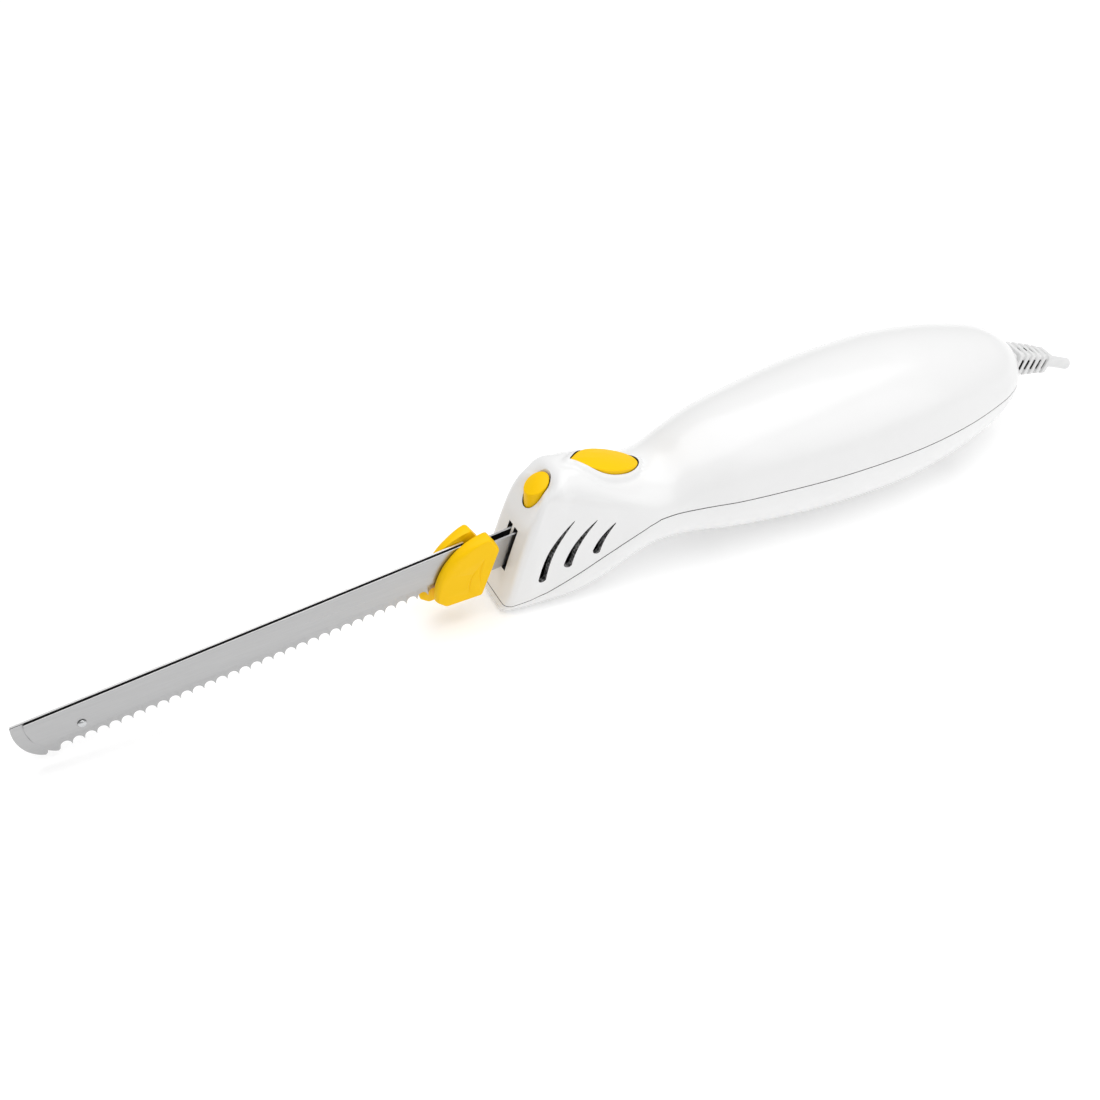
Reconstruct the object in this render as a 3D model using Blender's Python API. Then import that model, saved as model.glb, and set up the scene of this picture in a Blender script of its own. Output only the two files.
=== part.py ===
"""Corded electric knife with two opposed reciprocating blades.

World frame: metres, +Z up, floor at z = 0. +X runs from the blade tips to the cord,
+Y is the right-hand side as seen from the cord end. The chin of the housing and the
belly of the handle stand on the floor and the blades reach forward over it, tips down
by BLADE_PITCH_DEG. All lengths below are millimetres; mm() converts them.
"""
import math

import bmesh
import bpy
from mathutils import Matrix, Vector

# ---------------------------------------------------------------- driving dimensions
BLADE_PITCH_DEG = 4.5        # the blade line rises this much towards the housing
TOOTH_ORIGIN = (-225.0, 5.3)  # x, z of the first tooth tip on the blade line
TOOTH_PITCH = 4.8
TOOTH_DEPTH = 2.9
TOOTH_COUNT = 34
BLADE_HEIGHT = 20.0
BLADE_THICK = 1.1
BLADE_GAP = 0.15             # each blade stands this far off the middle plane
TANG_THICK = 1.1
TANG_INNER = 1.25            # the tangs are joggled outwards to this |y|
CRANK = 2.4                  # eccentricity: each blade strokes twice this

FRONT_S = -47.0              # floor-level x of the front face
TAIL_S = 215.2
WALL = 2.4
FIT = 0.3                    # gap left between separate pieces
AXIS_Z = 33.8                # centre line of the handle
SEAM_Z = 35.2                # parting line along the handle

SHAFT_R = 2.5
SHAFT_Z = 33.5
WHEEL_TEETH = 24
WHEEL_PITCH_R = 11.0
WORM_PITCH_R = 4.0
WHEEL_X = -10.0
WHEEL_Z = SHAFT_Z - WHEEL_PITCH_R - WORM_PITCH_R

BUTTON_X = -26.7
BUTTON_R = 5.2
TRIGGER_FRONT = (-11.5, 63.6)  # x, z of the trigger's two ends on the ridge
TRIGGER_REAR = (19.2, 51.0)
TRIGGER_HALF_WIDTH = 7.8
TRIGGER_TRAVEL = 2.0
TRIGGER_DEPTH = -6.0         # underside of the trigger, below its seat
SWITCH_X = (-11.0, 9.5)
SWITCH_TOP = 43.6
SPRING_P = -4.6              # trigger spring and switch plunger, along the trigger
SPRING_LENGTH = 9.0
PLUNGER_P = 2.5
PLUNGER_LENGTH = 8.8
COLLAR_WIDTH = 2.3           # raised lip around the trigger
COLLAR_HEIGHT = 0.9
NECK_Z = 41.6                # release button: foot of its stem, guide plate, crown
GUIDE_Z = 42.2
BUTTON_TOP = 58.4            # middle of the sloping crown
SCREW_HEAD_Z = 24.0
BOSS_R = 4.7

# housing stations: floor-level x, half width, top z, bottom z
STATIONS = (
    (-47.0, 13.0, 57.0, -1.0), (-40.0, 14.6, 61.2, -1.0), (-32.0, 15.9, 63.4, -0.9),
    (-20.0, 17.5, 62.0, -0.4), (-8.0, 18.8, 59.0, 2.4), (4.0, 20.2, 55.4, 7.0),
    (18.0, 21.5, 51.0, 12.0), (28.0, 21.7, 51.0, 12.1), (40.0, 23.6, 56.2, 10.2),
    (55.0, 27.0, 60.9, 6.9), (75.0, 30.0, 63.9, 3.9), (100.0, 32.8, 66.6, 1.2),
    (128.0, 33.8, 67.6, 0.0), (150.0, 32.9, 66.9, 0.9), (172.5, 29.6, 63.6, 4.6),
    (190.3, 25.0, 59.2, 9.2), (200.5, 21.2, 55.2, 13.2), (208.6, 16.0, 49.6, 18.4),
    (213.4, 10.0, 43.8, 23.9), (215.2, 5.0, 38.8, 28.8),
)
# parting line: x, z
SEAM = ((-70.0, 4.5), (-44.0, 5.6), (-30.0, 9.6), (-12.0, 19.0), (4.0, 27.6), (15.0, 33.6),
        (20.0, SEAM_Z), (300.0, SEAM_Z))
SCREWS = ((46.0, 16.0), (46.0, -16.0), (174.0, 18.0), (174.0, -18.0))

RING_SEGMENTS = 36           # around the outside of the housing
VOID_SEGMENTS = 24           # around its inside

WHITE = ("white_abs", (0.86, 0.87, 0.87), 0.3, 0.0)
YELLOW = ("yellow_abs", (1.0, 0.62, 0.004), 0.35, 0.0)
STEEL = ("stainless", (0.55, 0.56, 0.57), 0.3, 1.0)
DARK_STEEL = ("plated_steel", (0.36, 0.37, 0.39), 0.4, 1.0)
NYLON = ("nylon", (0.8, 0.79, 0.72), 0.5, 0.0)
COPPER = ("copper", (0.72, 0.33, 0.16), 0.35, 1.0)
LAMINATE = ("laminations", (0.22, 0.23, 0.25), 0.5, 0.8)
BLACK = ("black_phenolic", (0.03, 0.03, 0.035), 0.5, 0.0)
BRASS = ("brass", (0.72, 0.55, 0.25), 0.35, 1.0)
GREY = ("grey_pvc", (0.72, 0.72, 0.72), 0.55, 0.0)
CARBON = ("carbon", (0.05, 0.05, 0.055), 0.7, 0.0)
FILM = ("film_capacitor", (0.55, 0.42, 0.12), 0.45, 0.0)
BLUE = ("blue_pvc", (0.05, 0.18, 0.55), 0.5, 0.0)
BROWN = ("brown_pvc", (0.25, 0.1, 0.04), 0.5, 0.0)


# ---------------------------------------------------------------- small helpers
def mm(*values):
    return Vector([v * 0.001 for v in values])


def lerp(a, b, t):
    return a + (b - a) * t


def smooth(t):
    t = min(1.0, max(0.0, t))
    return t * t * (3 - 2 * t)


def spline(rows, x):
    """Smooth curve through rows of (x, value, ...), one value per column after x."""
    last = len(rows) - 2
    i = next((k for k in range(last + 1) if x <= rows[k + 1][0]), last)
    p1, p2 = rows[i], rows[i + 1]
    p0, p3 = rows[max(i - 1, 0)], rows[min(i + 2, last + 1)]
    span = p2[0] - p1[0]
    t = min(1.0, max(0.0, (x - p1[0]) / span))
    out = []
    for c in range(1, len(p1)):
        m1 = (p2[c] - p0[c]) / max(p2[0] - p0[0], 1e-9) * span
        m2 = (p3[c] - p1[c]) / max(p3[0] - p1[0], 1e-9) * span
        h = (2 * t**3 - 3 * t**2 + 1, t**3 - 2 * t**2 + t, -2 * t**3 + 3 * t**2, t**3 - t**2)
        out.append(h[0] * p1[c] + h[1] * m1 + h[2] * p2[c] + h[3] * m2)
    return out


def polyline(rows, x):
    for (x0, z0), (x1, z1) in zip(rows, rows[1:]):
        if x <= x1:
            return lerp(z0, z1, (x - x0) / (x1 - x0))
    return rows[-1][1]


def material(spec):
    name, colour, roughness, metallic = spec
    found = bpy.data.materials.get(name)
    if found:
        return found
    made = bpy.data.materials.new(name)
    made.use_nodes = True
    shader = made.node_tree.nodes["Principled BSDF"]
    shader.inputs["Base Color"].default_value = (*colour, 1.0)
    shader.inputs["Roughness"].default_value = roughness
    shader.inputs["Metallic"].default_value = metallic
    return made


def add_object(name, vertices, faces, spec, smooth_angle=35.0):
    """One mesh object from points in millimetres, outward faces, shaded by angle."""
    mesh = bpy.data.meshes.new(name)
    mesh.from_pydata([mm(*v) for v in vertices], [], faces)
    bm = bmesh.new()
    bm.from_mesh(mesh)
    bmesh.ops.recalc_face_normals(bm, faces=bm.faces)
    bm.to_mesh(mesh)
    bm.free()
    mesh.shade_smooth()
    mesh.set_sharp_from_angle(angle=math.radians(smooth_angle))
    mesh.materials.append(material(spec))
    made = bpy.data.objects.new(name, mesh)
    bpy.context.scene.collection.objects.link(made)
    return made


def hide(cutter):
    cutter.hide_render = True
    cutter.display_type = "WIRE"
    return cutter


def boolean(target, cutter, operation="DIFFERENCE"):
    step = target.modifiers.new(operation.lower(), "BOOLEAN")
    step.object = cutter
    step.operation = operation
    step.solver = "EXACT"
    return hide(cutter)


def loft(rings, strip_caps=False):
    """Vertices and faces through closed rings of equal length, closed at both ends.
    With strip_caps, rings are mirror images about y = 0 and the ends are cross strips."""
    count = len(rings[0])
    vertices = [p for ring in rings for p in ring]
    faces = []
    for k in range(len(rings) - 1):
        for i in range(count):
            j = (i + 1) % count
            a, b = k * count, (k + 1) * count
            faces.append((a + i, a + j, b + j, b + i))
    for base in (0, (len(rings) - 1) * count):
        if not strip_caps:
            faces.append(tuple(base + i for i in range(count)))
            continue
        # ring point i mirrors point (half - i): both have the same z
        half = count // 2
        quarter = count // 4
        for i in range(-quarter, quarter):
            quad = [i, i + 1, half - i - 1, half - i]
            corner = [base + q % count for q in quad]
            unique = tuple(dict.fromkeys(corner))
            faces.append(unique)
    return vertices, faces


def prism(outline, y0, y1):
    """An x-z outline extruded along y."""
    return loft([[(x, y, z) for x, z in outline] for y in (y0, y1)])


def box(x0, x1, y0, y1, z0, z1):
    return prism([(x0, z0), (x1, z0), (x1, z1), (x0, z1)], y0, y1)


def basis(direction):
    d = Vector(direction).normalized()
    side = d.cross(Vector((0, 0, 1)))
    side = Vector((0, 1, 0)) if side.length < 1e-6 else side.normalized()
    return d, side, side.cross(d)


def lathe(profile, origin, direction, segments=20, bore=False):
    """Turns (distance along the axis, radius) points about the axis. A bore closes the
    profile on itself; otherwise both ends are capped."""
    d, side, up = basis(direction)
    start = Vector(origin)
    rings = []
    for along, radius in profile:
        ring = []
        for k in range(segments):
            angle = 2 * math.pi * k / segments
            point = start + d * along + (side * math.cos(angle) + up * math.sin(angle)) * radius
            ring.append(tuple(point))
        rings.append(ring)
    if not bore:
        return loft(rings)
    vertices, faces = loft(rings + [rings[0]])
    count = segments * len(rings)
    faces = [f for f in faces if len(f) == 4]
    wrapped = [tuple(v % count for v in f) for f in faces]
    return vertices[:count], wrapped


def cylinder(origin, direction, radius, length, segments=20):
    return lathe([(0, radius), (length, radius)], origin, direction, segments)


def tube(points, radius, segments=8):
    """A round bar along a path of points."""
    path = [Vector(p) for p in points]
    rings = []
    side = None
    for i, p in enumerate(path):
        tangent = (path[min(i + 1, len(path) - 1)] - path[max(i - 1, 0)]).normalized()
        if side is None:
            side = tangent.orthogonal().normalized()
        side = (side - tangent * side.dot(tangent)).normalized()
        up = tangent.cross(side)
        ring = []
        for k in range(segments):
            angle = 2 * math.pi * k / segments
            ring.append(tuple(p + (side * math.cos(angle) + up * math.sin(angle)) * radius))
        rings.append(ring)
    return loft(rings)


def coil(centre, direction, radius, wire, length, turns, per_turn=9):
    d, side, up = basis(direction)
    count = int(turns * per_turn)
    points = []
    for k in range(count + 1):
        angle = 2 * math.pi * k / per_turn
        along = length * k / count
        points.append(Vector(centre) + d * along
                      + (side * math.cos(angle) + up * math.sin(angle)) * radius)
    return tube(points, wire, segments=5)


# ---------------------------------------------------------------- blade frame
PITCH = math.radians(BLADE_PITCH_DEG)


def blade_xz(u, v):
    """World x, z of a point u along the blade line and v above the tooth tips."""
    x = TOOTH_ORIGIN[0] + u * math.cos(PITCH) - v * math.sin(PITCH)
    z = TOOTH_ORIGIN[1] + u * math.sin(PITCH) + v * math.cos(PITCH)
    return x, z


def blade_prism(outline, y0, y1):
    return prism([blade_xz(u, v) for u, v in outline], y0, y1)


NOSE_CENTRE = (-4.0, 15.0)
NOSE_RADII = (12.0, 16.6)
TANG_START = 166.0
TANG_LOW = 1.0
TANG_HIGH = 16.0
CARRIER_FRONT = 195.5        # u of the drive bars' front ends
TANG_END = CARRIER_FRONT + 6.6
LATCH_UV = (CARRIER_FRONT + 4.0, 9.6)
BLADE_END = 176.0


def blade_outline():
    """Serrated blade: round nose, straight back, one round gullet between teeth."""
    outline = []
    start = math.asin((BLADE_HEIGHT - NOSE_CENTRE[1]) / NOSE_RADII[1])
    for k in range(11):
        angle = lerp(start, -math.pi / 2, k / 10)
        u = NOSE_CENTRE[0] - NOSE_RADII[0] * math.cos(angle)
        outline.append((u, NOSE_CENTRE[1] + NOSE_RADII[1] * math.sin(angle)))
    first = NOSE_CENTRE[0] + 0.7
    for tooth in range(TOOTH_COUNT):
        left = first + tooth * TOOTH_PITCH
        middle, half = left + TOOTH_PITCH / 2, TOOTH_PITCH / 2 - 0.12
        outline.append((left, 0.0))
        for k in range(1, 6):
            angle = math.pi * (1 - k / 6)
            outline.append((middle + half * math.cos(angle), TOOTH_DEPTH * math.sin(angle)))
    last = first + TOOTH_COUNT * TOOTH_PITCH
    outline += [(last, 0.0), (BLADE_END, 0.0), (BLADE_END, BLADE_HEIGHT)]
    return outline


def add_blade(name, side, shift):
    """side is -1 for the left blade; shift moves it along the blade line at rest."""
    slide = lambda points: [(u + shift, v) for u, v in points]
    inner, outer = BLADE_GAP, BLADE_GAP + BLADE_THICK
    blade = add_object(name, *blade_prism(slide(blade_outline()), side * inner, side * outer), STEEL)
    tang = [(TANG_START, TANG_LOW), (TANG_END - 3, TANG_LOW), (TANG_END, TANG_LOW + 4),
            (TANG_END, TANG_HIGH - 4), (TANG_END - 3, TANG_HIGH), (TANG_START, TANG_HIGH)]
    tang_in, tang_out = outer - 0.1, TANG_INNER + TANG_THICK
    part = add_object(name + "_tang", *blade_prism(slide(tang), side * tang_in, side * tang_out), STEEL)
    boolean(blade, part, "UNION")
    x, z = blade_xz(LATCH_UV[0] + shift, LATCH_UV[1])
    hole = add_object(name + "_latch_hole", *cylinder((x, -side * 2, z), (0, side, 0), 1.8, 8, 12), STEEL)
    boolean(blade, hole)
    return blade


RIVET = (4.0, 9.5)   # u, v of the tip rivet on the left blade


def add_tip_rivet(left, right, left_shift, right_shift):
    """Headed pin fixed in the left blade, running in a slot of the right blade."""
    u, v = RIVET
    x, z = blade_xz(u + left_shift, v)
    outer = BLADE_GAP + BLADE_THICK
    hole = add_object("rivet_hole", *cylinder((x, -4, z), (0, 1, 0), 1.0 + FIT, 4, 14), STEEL)
    boolean(left, hole)
    reach = 4 * CRANK        # each blade moves by 2 x CRANK, in opposite directions
    low = u + left_shift - reach - 1.6
    high = u + left_shift + 1.6
    width = 1.0 + FIT
    slot = [(low, v - width), (high, v - width), (high, v + width), (low, v + width)]
    slot_cut = add_object("rivet_slot", *blade_prism(slot, 0.0, 4.0), STEEL)
    boolean(right, slot_cut)
    head, neck = outer + FIT, outer + FIT + 0.7
    profile = [(-neck, 1.3), (-head - 0.25, 1.6), (-head, 1.6), (-head, 1.0), (head, 1.0),
               (head, 1.6), (neck, 1.5)]
    add_object("blade_rivet", *lathe(profile, (x, 0, z), (0, 1, 0), 16), DARK_STEEL)


def guard_outline(shift):
    """Fin that stands over and under the blade: round leading edge, raked back."""
    points = []
    for k in range(11):
        angle = math.radians(lerp(180, 91, k / 10))
        points.append((174.8 + 26.6 * math.cos(angle), -3.0 + 26.6 * math.sin(angle)))
    points += [(177.9, 15.9), (168.2, -6.1), (166.5, -7.1), (153.3, -7.0), (150.2, -6.0)]
    return [(u + shift, v) for u, v in points]


def add_guard(name, side, shift):
    """Finger guard that flares outwards towards the hand."""
    outline = guard_outline(shift)
    lean = 0.09
    inner = BLADE_GAP + BLADE_THICK + FIT
    front = min(u for u, v in outline)
    near, far, rim = [], [], []
    middle = (sum(u for u, v in outline) / len(outline), sum(v for u, v in outline) / len(outline))
    for u, v in outline:
        x, z = blade_xz(u, v)
        thickness = 4.6 + lean * (u - front)
        near.append((x, side * inner, z))
        rim.append((x, side * (thickness - 1.6), z))
        x, z = blade_xz(lerp(u, middle[0], 0.07), lerp(v, middle[1], 0.05))
        far.append((x, side * thickness, z))
    guard = add_object(name, *loft([near, rim, far]), YELLOW)
    x0, x1 = TANG_START - 1.5 + shift, 190 + shift
    pocket = [(x0, TANG_LOW - 1), (x1, TANG_LOW - 1), (x1, TANG_HIGH + 1), (x0, TANG_HIGH + 1)]
    depth = TANG_INNER + TANG_THICK + FIT
    cut = add_object(name + "_pocket", *blade_prism(pocket, 0.0, side * depth), YELLOW)
    boolean(guard, cut)
    return guard


# ---------------------------------------------------------------- housing
FRONT_RADIUS = 3.2


def lean_offset(s, z):
    """The front face leans back; the lean dies out towards the grip."""
    amount = 1.0 - smooth((s - FRONT_S) / (16.0 - FRONT_S))
    return amount * (0.2 * z + 0.0018 * z * z)


def thumb_hollow(x, y, z):
    """How far the sloping front is pressed back around the release button."""
    across = 1.0 - smooth((abs(y) - 2.0) / 12.0)
    height = smooth((z - 42.0) / 15.0) * (1.0 - smooth((z - 57.0) / 6.5))
    return 5.0 * across * height * (1.0 - smooth((x + 27.0) / 16.0))


def housing_ring(s, inset, floor, segments, share=1.0):
    """One closed ring of the housing at station s, moved inwards by inset and shrunk to a share."""
    a, top, bottom = spline(STATIONS, s)
    a, top, bottom = a - inset, top - inset, bottom + inset
    head = 1.0 - smooth((s + 20.0) / 42.0)
    exponent = 2.05 + 1.6 * head
    taper = 0.05 * head
    middle, height = (top + bottom) / 2, (top - bottom) / 2
    ring = []
    for k in range(segments):
        angle = 2 * math.pi * k / segments
        c, q = math.cos(angle), math.sin(angle)
        across = math.copysign(abs(c) ** (2 / exponent), c) if abs(c) > 1e-9 else 0.0
        upwards = math.copysign(abs(q) ** (2 / exponent), q) if abs(q) > 1e-9 else 0.0
        z = max(middle + height * upwards, floor)
        y = a * across * (1 - taper * upwards) * share
        z = middle + (z - middle) * share
        x = s + lean_offset(s, z)
        ring.append((x + thumb_hollow(x, y, z), y, z))
    return ring


def housing_solid(name, inset, floor, segments, stride):
    """The housing's outer form moved inwards by inset, through every stride-th station."""
    rings = []
    for share in ((0.2, 0.5, 0.8) if stride == 1 else (0.4,)):
        rings.append(housing_ring(FRONT_S + inset, inset + FRONT_RADIUS, floor, segments, share))
    for k in range(0, 4, stride):
        angle = math.pi / 2 * k / 4
        shrink = FRONT_RADIUS * (1 - math.sin(angle))
        s = FRONT_S + inset + FRONT_RADIUS * (1 - math.cos(angle))
        rings.append(housing_ring(s, inset + shrink, floor, segments))
    stops = [FRONT_S + FRONT_RADIUS + inset, -38, -32, -26, -20, -14, -8, -2, 4, 11, 18, 24, 30, 36,
             44, 54, 66, 82, 104, 128, 146, 160, 172, 182, 190.5, 198, 203.5, 208, 211.5]
    end = TAIL_S - inset
    rings += [housing_ring(s, inset, floor, segments) for s in stops[::stride] if s < end - inset]
    rings.append(housing_ring(end - inset * 0.8 - 1.5, inset * 0.8, floor, segments))
    return add_object(name, *loft(rings, strip_caps=True), WHITE, 40)


def seam_block(name, upper):
    """Everything on one side of the parting line."""
    gap = FIT / 2 if upper else -FIT / 2
    line = [(x, z + gap) for x, z in SEAM]
    limit = 120.0 if upper else -60.0
    outline = line + [(SEAM[-1][0], limit), (SEAM[0][0], limit)]
    return add_object(name, *prism(outline, -80, 80), WHITE)


VENTS = (  # top x, z; bottom x, z; bulge; half width at the bottom
    (-16.8, 44.6, -31.6, 18.6, 2.4, 1.55),
    (-7.4, 42.4, -20.4, 23.2, 1.8, 1.5),
    (0.4, 39.0, -8.0, 26.8, 1.0, 1.4),
)


def vent_outline(x0, z0, x1, z1, bulge, half_width):
    """Curved slit, pointed at its top and round at its bottom."""
    along = Vector((x1 - x0, z1 - z0)).normalized()
    across = Vector((-along.y, along.x))
    left, right = [], []
    for k in range(7):
        t = k / 6
        centre = Vector((lerp(x0, x1, t), lerp(z0, z1, t))) + across * (-bulge * 4 * t * (1 - t))
        width = 0.12 + (half_width - 0.12) * t ** 0.8
        left.append(centre + across * width)
        right.append(centre - across * width)
    end = Vector((x1, z1))
    cap = []
    for k in range(1, 4):
        angle = math.pi * k / 4
        cap.append(end + across * (half_width * math.cos(angle)) + along * (half_width * math.sin(angle)))
    return [tuple(p) for p in left + cap + right[::-1]]


def trigger_frame():
    """Origin, along, up of the trigger's sloping seat on the ridge."""
    front, rear = Vector(TRIGGER_FRONT), Vector(TRIGGER_REAR)
    along = (rear - front).normalized()
    return (front + rear) / 2, along, Vector((-along.y, along.x)), (rear - front).length


def trigger_point(p, q, h):
    """p along the trigger from its middle, q across, h above its seat."""
    middle, along, up, _ = trigger_frame()
    xz = middle + along * p + up * h
    return (xz.x, q, xz.y)


def lens_outline(grow=0.0):
    """Drop shape: pointed at the front, round at the rear."""
    _, _, _, length = trigger_frame()
    half = length / 2
    points = []
    count = 28
    for k in range(count):
        angle = 2 * math.pi * k / count
        p = half * math.cos(angle)
        front = max(0.0, -math.cos(angle))
        width = TRIGGER_HALF_WIDTH * math.sin(angle) * (1 - 0.75 * front ** 3)
        points.append((p * (1 + grow / half), width * (1 + grow / TRIGGER_HALF_WIDTH)))
    return points


def trigger_prism(grow, low, high, crown=0.0):
    rings = [[trigger_point(p, q, low) for p, q in lens_outline(grow)],
             [trigger_point(p, q, high) for p, q in lens_outline(grow)]]
    if crown:
        rings.append([trigger_point(p * 0.9, q * 0.82, high + crown * 0.6)
                      for p, q in lens_outline(grow)])
        rings.append([trigger_point(p * 0.55, q * 0.45, high + crown) for p, q in lens_outline(grow)])
    return loft(rings)


def slot_cutter(side):
    """Opening in the front face for one tang."""
    low, high = TANG_LOW - 1.6, TANG_HIGH + 2.2
    outline = [(170, low), (200, low), (200, high), (170, high)]
    return blade_prism(outline, side * (TANG_INNER - 0.45), side * (TANG_INNER + TANG_THICK + 0.75))


def screw_hole(x, y, upper):
    """Counterbored from below; a pilot hole in the upper boss."""
    if upper:
        return cylinder((x, y, SEAM_Z - 1), (0, 0, 1), 1.5 + FIT, 13.5, 14)
    head, shank, shoulder = 3.4 + FIT, 1.5 + FIT, SCREW_HEAD_Z + 10
    profile = [(-10, head), (shoulder, head), (shoulder, shank), (60, shank)]
    return lathe(profile, (x, y, 0), (0, 0, 1), 14)


def add_shell(name, upper):
    """One half of the housing: outer form less a void that leaves walls and bosses."""
    shell = housing_solid(name, 0.0, 0.0, RING_SEGMENTS, 1)
    void = hide(housing_solid(name + "_void", WALL, WALL, VOID_SEGMENTS, 2))
    for n, (x, y) in enumerate(SCREWS):
        low, length = (SEAM_Z, 14) if upper else (-5, SEAM_Z + 5)
        boss = add_object(f"{name}_boss_{n}", *cylinder((x, y, low), (0, 0, 1), BOSS_R, length, 16), WHITE)
        boolean(void, boss)
    for n, (x, radius) in enumerate(SEATS):
        inner = radius + FIT
        if upper:
            rib = box(x, x + SEAT_WIDTH, -5, 5, SHAFT_Z + inner, SHAFT_Z + 45)
        else:
            profile = [(0, inner), (0, 45), (SEAT_WIDTH, 45), (SEAT_WIDTH, inner)]
            rib = lathe(profile, (x, 0, SHAFT_Z), (1, 0, 0), 40, bore=True)
        boolean(void, add_object(f"{name}_seat_{n}", *rib, WHITE))
    boolean(shell, void)
    boolean(shell, seam_block(name + "_half", upper), "INTERSECT")
    for n, (x, y) in enumerate(SCREWS):
        boolean(shell, add_object(f"{name}_screw_hole_{n}", *screw_hole(x, y, upper), WHITE))
    reach = RELIEF_HALF + 2 * FIT
    opening = box(203, 225, -reach, reach, AXIS_Z - reach + 1.1, AXIS_Z + reach + 2.1)
    boolean(shell, add_object(name + "_cord_opening", *opening, WHITE))
    if upper:
        cut_upper_openings(shell, name)
    return shell


def cut_upper_openings(shell, name):
    for side in (-1, 1):
        boolean(shell, add_object(f"{name}_slot_{side}", *slot_cutter(side), WHITE))
        for n, vent in enumerate(VENTS):
            slit = prism(vent_outline(*vent), side * 9.5, side * 40)
            boolean(shell, add_object(f"{name}_vent_{n}_{side}", *slit, WHITE))
    hole = cylinder((BUTTON_X, 0, 43), (0, 0, 1), BUTTON_R + 0.55, 34, 24)
    boolean(shell, add_object(name + "_button_hole", *hole, WHITE))
    collar = trigger_prism(COLLAR_WIDTH, -2.8, COLLAR_HEIGHT)
    boolean(shell, add_object(name + "_trigger_collar", *collar, WHITE), "UNION")
    boolean(shell, add_object(name + "_trigger_hole", *trigger_prism(0.5, -9, 9), WHITE))


# ---------------------------------------------------------------- controls


def add_release_button():
    """Round push button that stands straight up through the sloping front."""
    z = NECK_Z
    shoulder, crown = 48.5 - z, BUTTON_TOP - z
    profile = [(0, 3.0), (shoulder, 3.0), (shoulder, BUTTON_R - 0.9), (shoulder - 2.2, BUTTON_R - 0.9),
               (shoulder - 2.2, BUTTON_R), (crown - 1.4, BUTTON_R),
               (crown - 0.6, BUTTON_R - 0.5), (crown - 0.1, BUTTON_R - 2.0), (crown, 0.6)]
    vertices, faces = lathe(profile, (BUTTON_X, 0, z), (0, 0, 1), 24)
    vertices = [(x, y, q + (0.5 * (x - BUTTON_X) if q > 52 else 0.0)) for x, y, q in vertices]
    add_object("release_button", vertices, faces, YELLOW)
    guide = add_object("button_guide", *box(-30.0, -20.0, -8.0, 8.0, GUIDE_Z, GUIDE_Z + 1.1), BLACK)
    hole = cylinder((BUTTON_X, 0, 30), (0, 0, 1), 3.0 + FIT, 20, 20)
    boolean(guide, add_object("button_guide_hole", *hole, BLACK))


def add_release_fork():
    """Steel bridge under the button whose two prongs press the tang latches."""
    z = NECK_Z - FIT
    outline = [(-10.1, z), (-10.1, 34.5), (-8.9, 34.5), (-8.9, z - 1.2), (8.9, z - 1.2), (8.9, 34.5),
               (10.1, 34.5), (10.1, z)]
    front, back = BUTTON_X - 1.6, BUTTON_X + 3.0
    rings = [[(x, y, q) for y, q in outline] for x in (front, back)]
    add_object("release_fork", *loft(rings), DARK_STEEL)


def add_release_spring():
    add_object("release_spring", *coil((BUTTON_X, 0, GUIDE_Z + 1.8), (0, 0, 1), 3.6, 0.22, 4.0, 2.5), STEEL)


def add_trigger():
    add_object("trigger", *trigger_prism(0.0, TRIGGER_DEPTH, 0.9, 1.2), YELLOW)
    _, _, up, _ = trigger_frame()
    start = trigger_point(SPRING_P, 0, TRIGGER_DEPTH - 0.6)
    add_object("trigger_spring", *coil(start, (-up.x, 0, -up.y), 1.7, 0.3, SPRING_LENGTH, 4.0), STEEL)


def add_switch():
    """Snap switch under the trigger; its plunger dips into a well in the body."""
    body = add_object("switch_body", *box(*SWITCH_X, -5.5, 5.5, 38.7, SWITCH_TOP), BLACK)
    base = trigger_point(PLUNGER_P, 0, TRIGGER_DEPTH - FIT)
    _, _, up, _ = trigger_frame()
    down = (-up.x, 0, -up.y)
    profile = [(0, 1.3), (0.5, 1.7), (PLUNGER_LENGTH, 1.7)]
    add_object("switch_plunger", *lathe(profile, base, down, 14), NYLON)
    well = cylinder(base, down, 1.7 + FIT, PLUNGER_LENGTH + TRIGGER_TRAVEL + FIT, 14)
    boolean(body, add_object("switch_well", *well, BLACK))


# ---------------------------------------------------------------- gear train and slides
def add_worm_wheel():
    """Helical wheel with an eccentric disc on each face, 180 degrees apart."""
    module = 2 * WHEEL_PITCH_R / WHEEL_TEETH
    tip, root = WHEEL_PITCH_R + module * 0.85, WHEEL_PITCH_R - module * 1.1
    lead_angle = module / (2 * WORM_PITCH_R)
    half_face = 2.6
    rings = []
    for y in (-half_face, 0.0, half_face):
        twist = -y * lead_angle / WHEEL_PITCH_R
        ring = []
        for tooth in range(WHEEL_TEETH):
            for radius, offset in ((root, -0.30), (tip, -0.11), (tip, 0.11), (root, 0.30)):
                angle = 2 * math.pi * (tooth + offset) / WHEEL_TEETH + math.pi / 2 + twist
                ring.append((WHEEL_X + radius * math.cos(angle), y, WHEEL_Z + radius * math.sin(angle)))
        rings.append(ring)
    wheel = add_object("worm_wheel", *loft(rings), NYLON, 25)
    for side in (-1, 1):
        # left side: eccentric towards +u (blade back); right side: towards -u (blade forward)
        offset = -side * CRANK
        x = WHEEL_X + offset * math.cos(PITCH)
        z = WHEEL_Z + offset * math.sin(PITCH)
        disc = lathe([(half_face - 0.8, ECCENTRIC_R), (7.9, ECCENTRIC_R)], (x, 0, z), (0, side, 0), 24)
        boolean(wheel, add_object(f"eccentric_{side}", *disc, NYLON), "UNION")
    bore = cylinder((WHEEL_X, -12, WHEEL_Z), (0, 1, 0), 2.0 + 0.06, 24, 16)
    boolean(wheel, add_object("wheel_bore", *bore, NYLON))
    return wheel


ECCENTRIC_R = 5.4
CARRIER_IN = 5.3
CARRIER_OUT = 7.6


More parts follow.
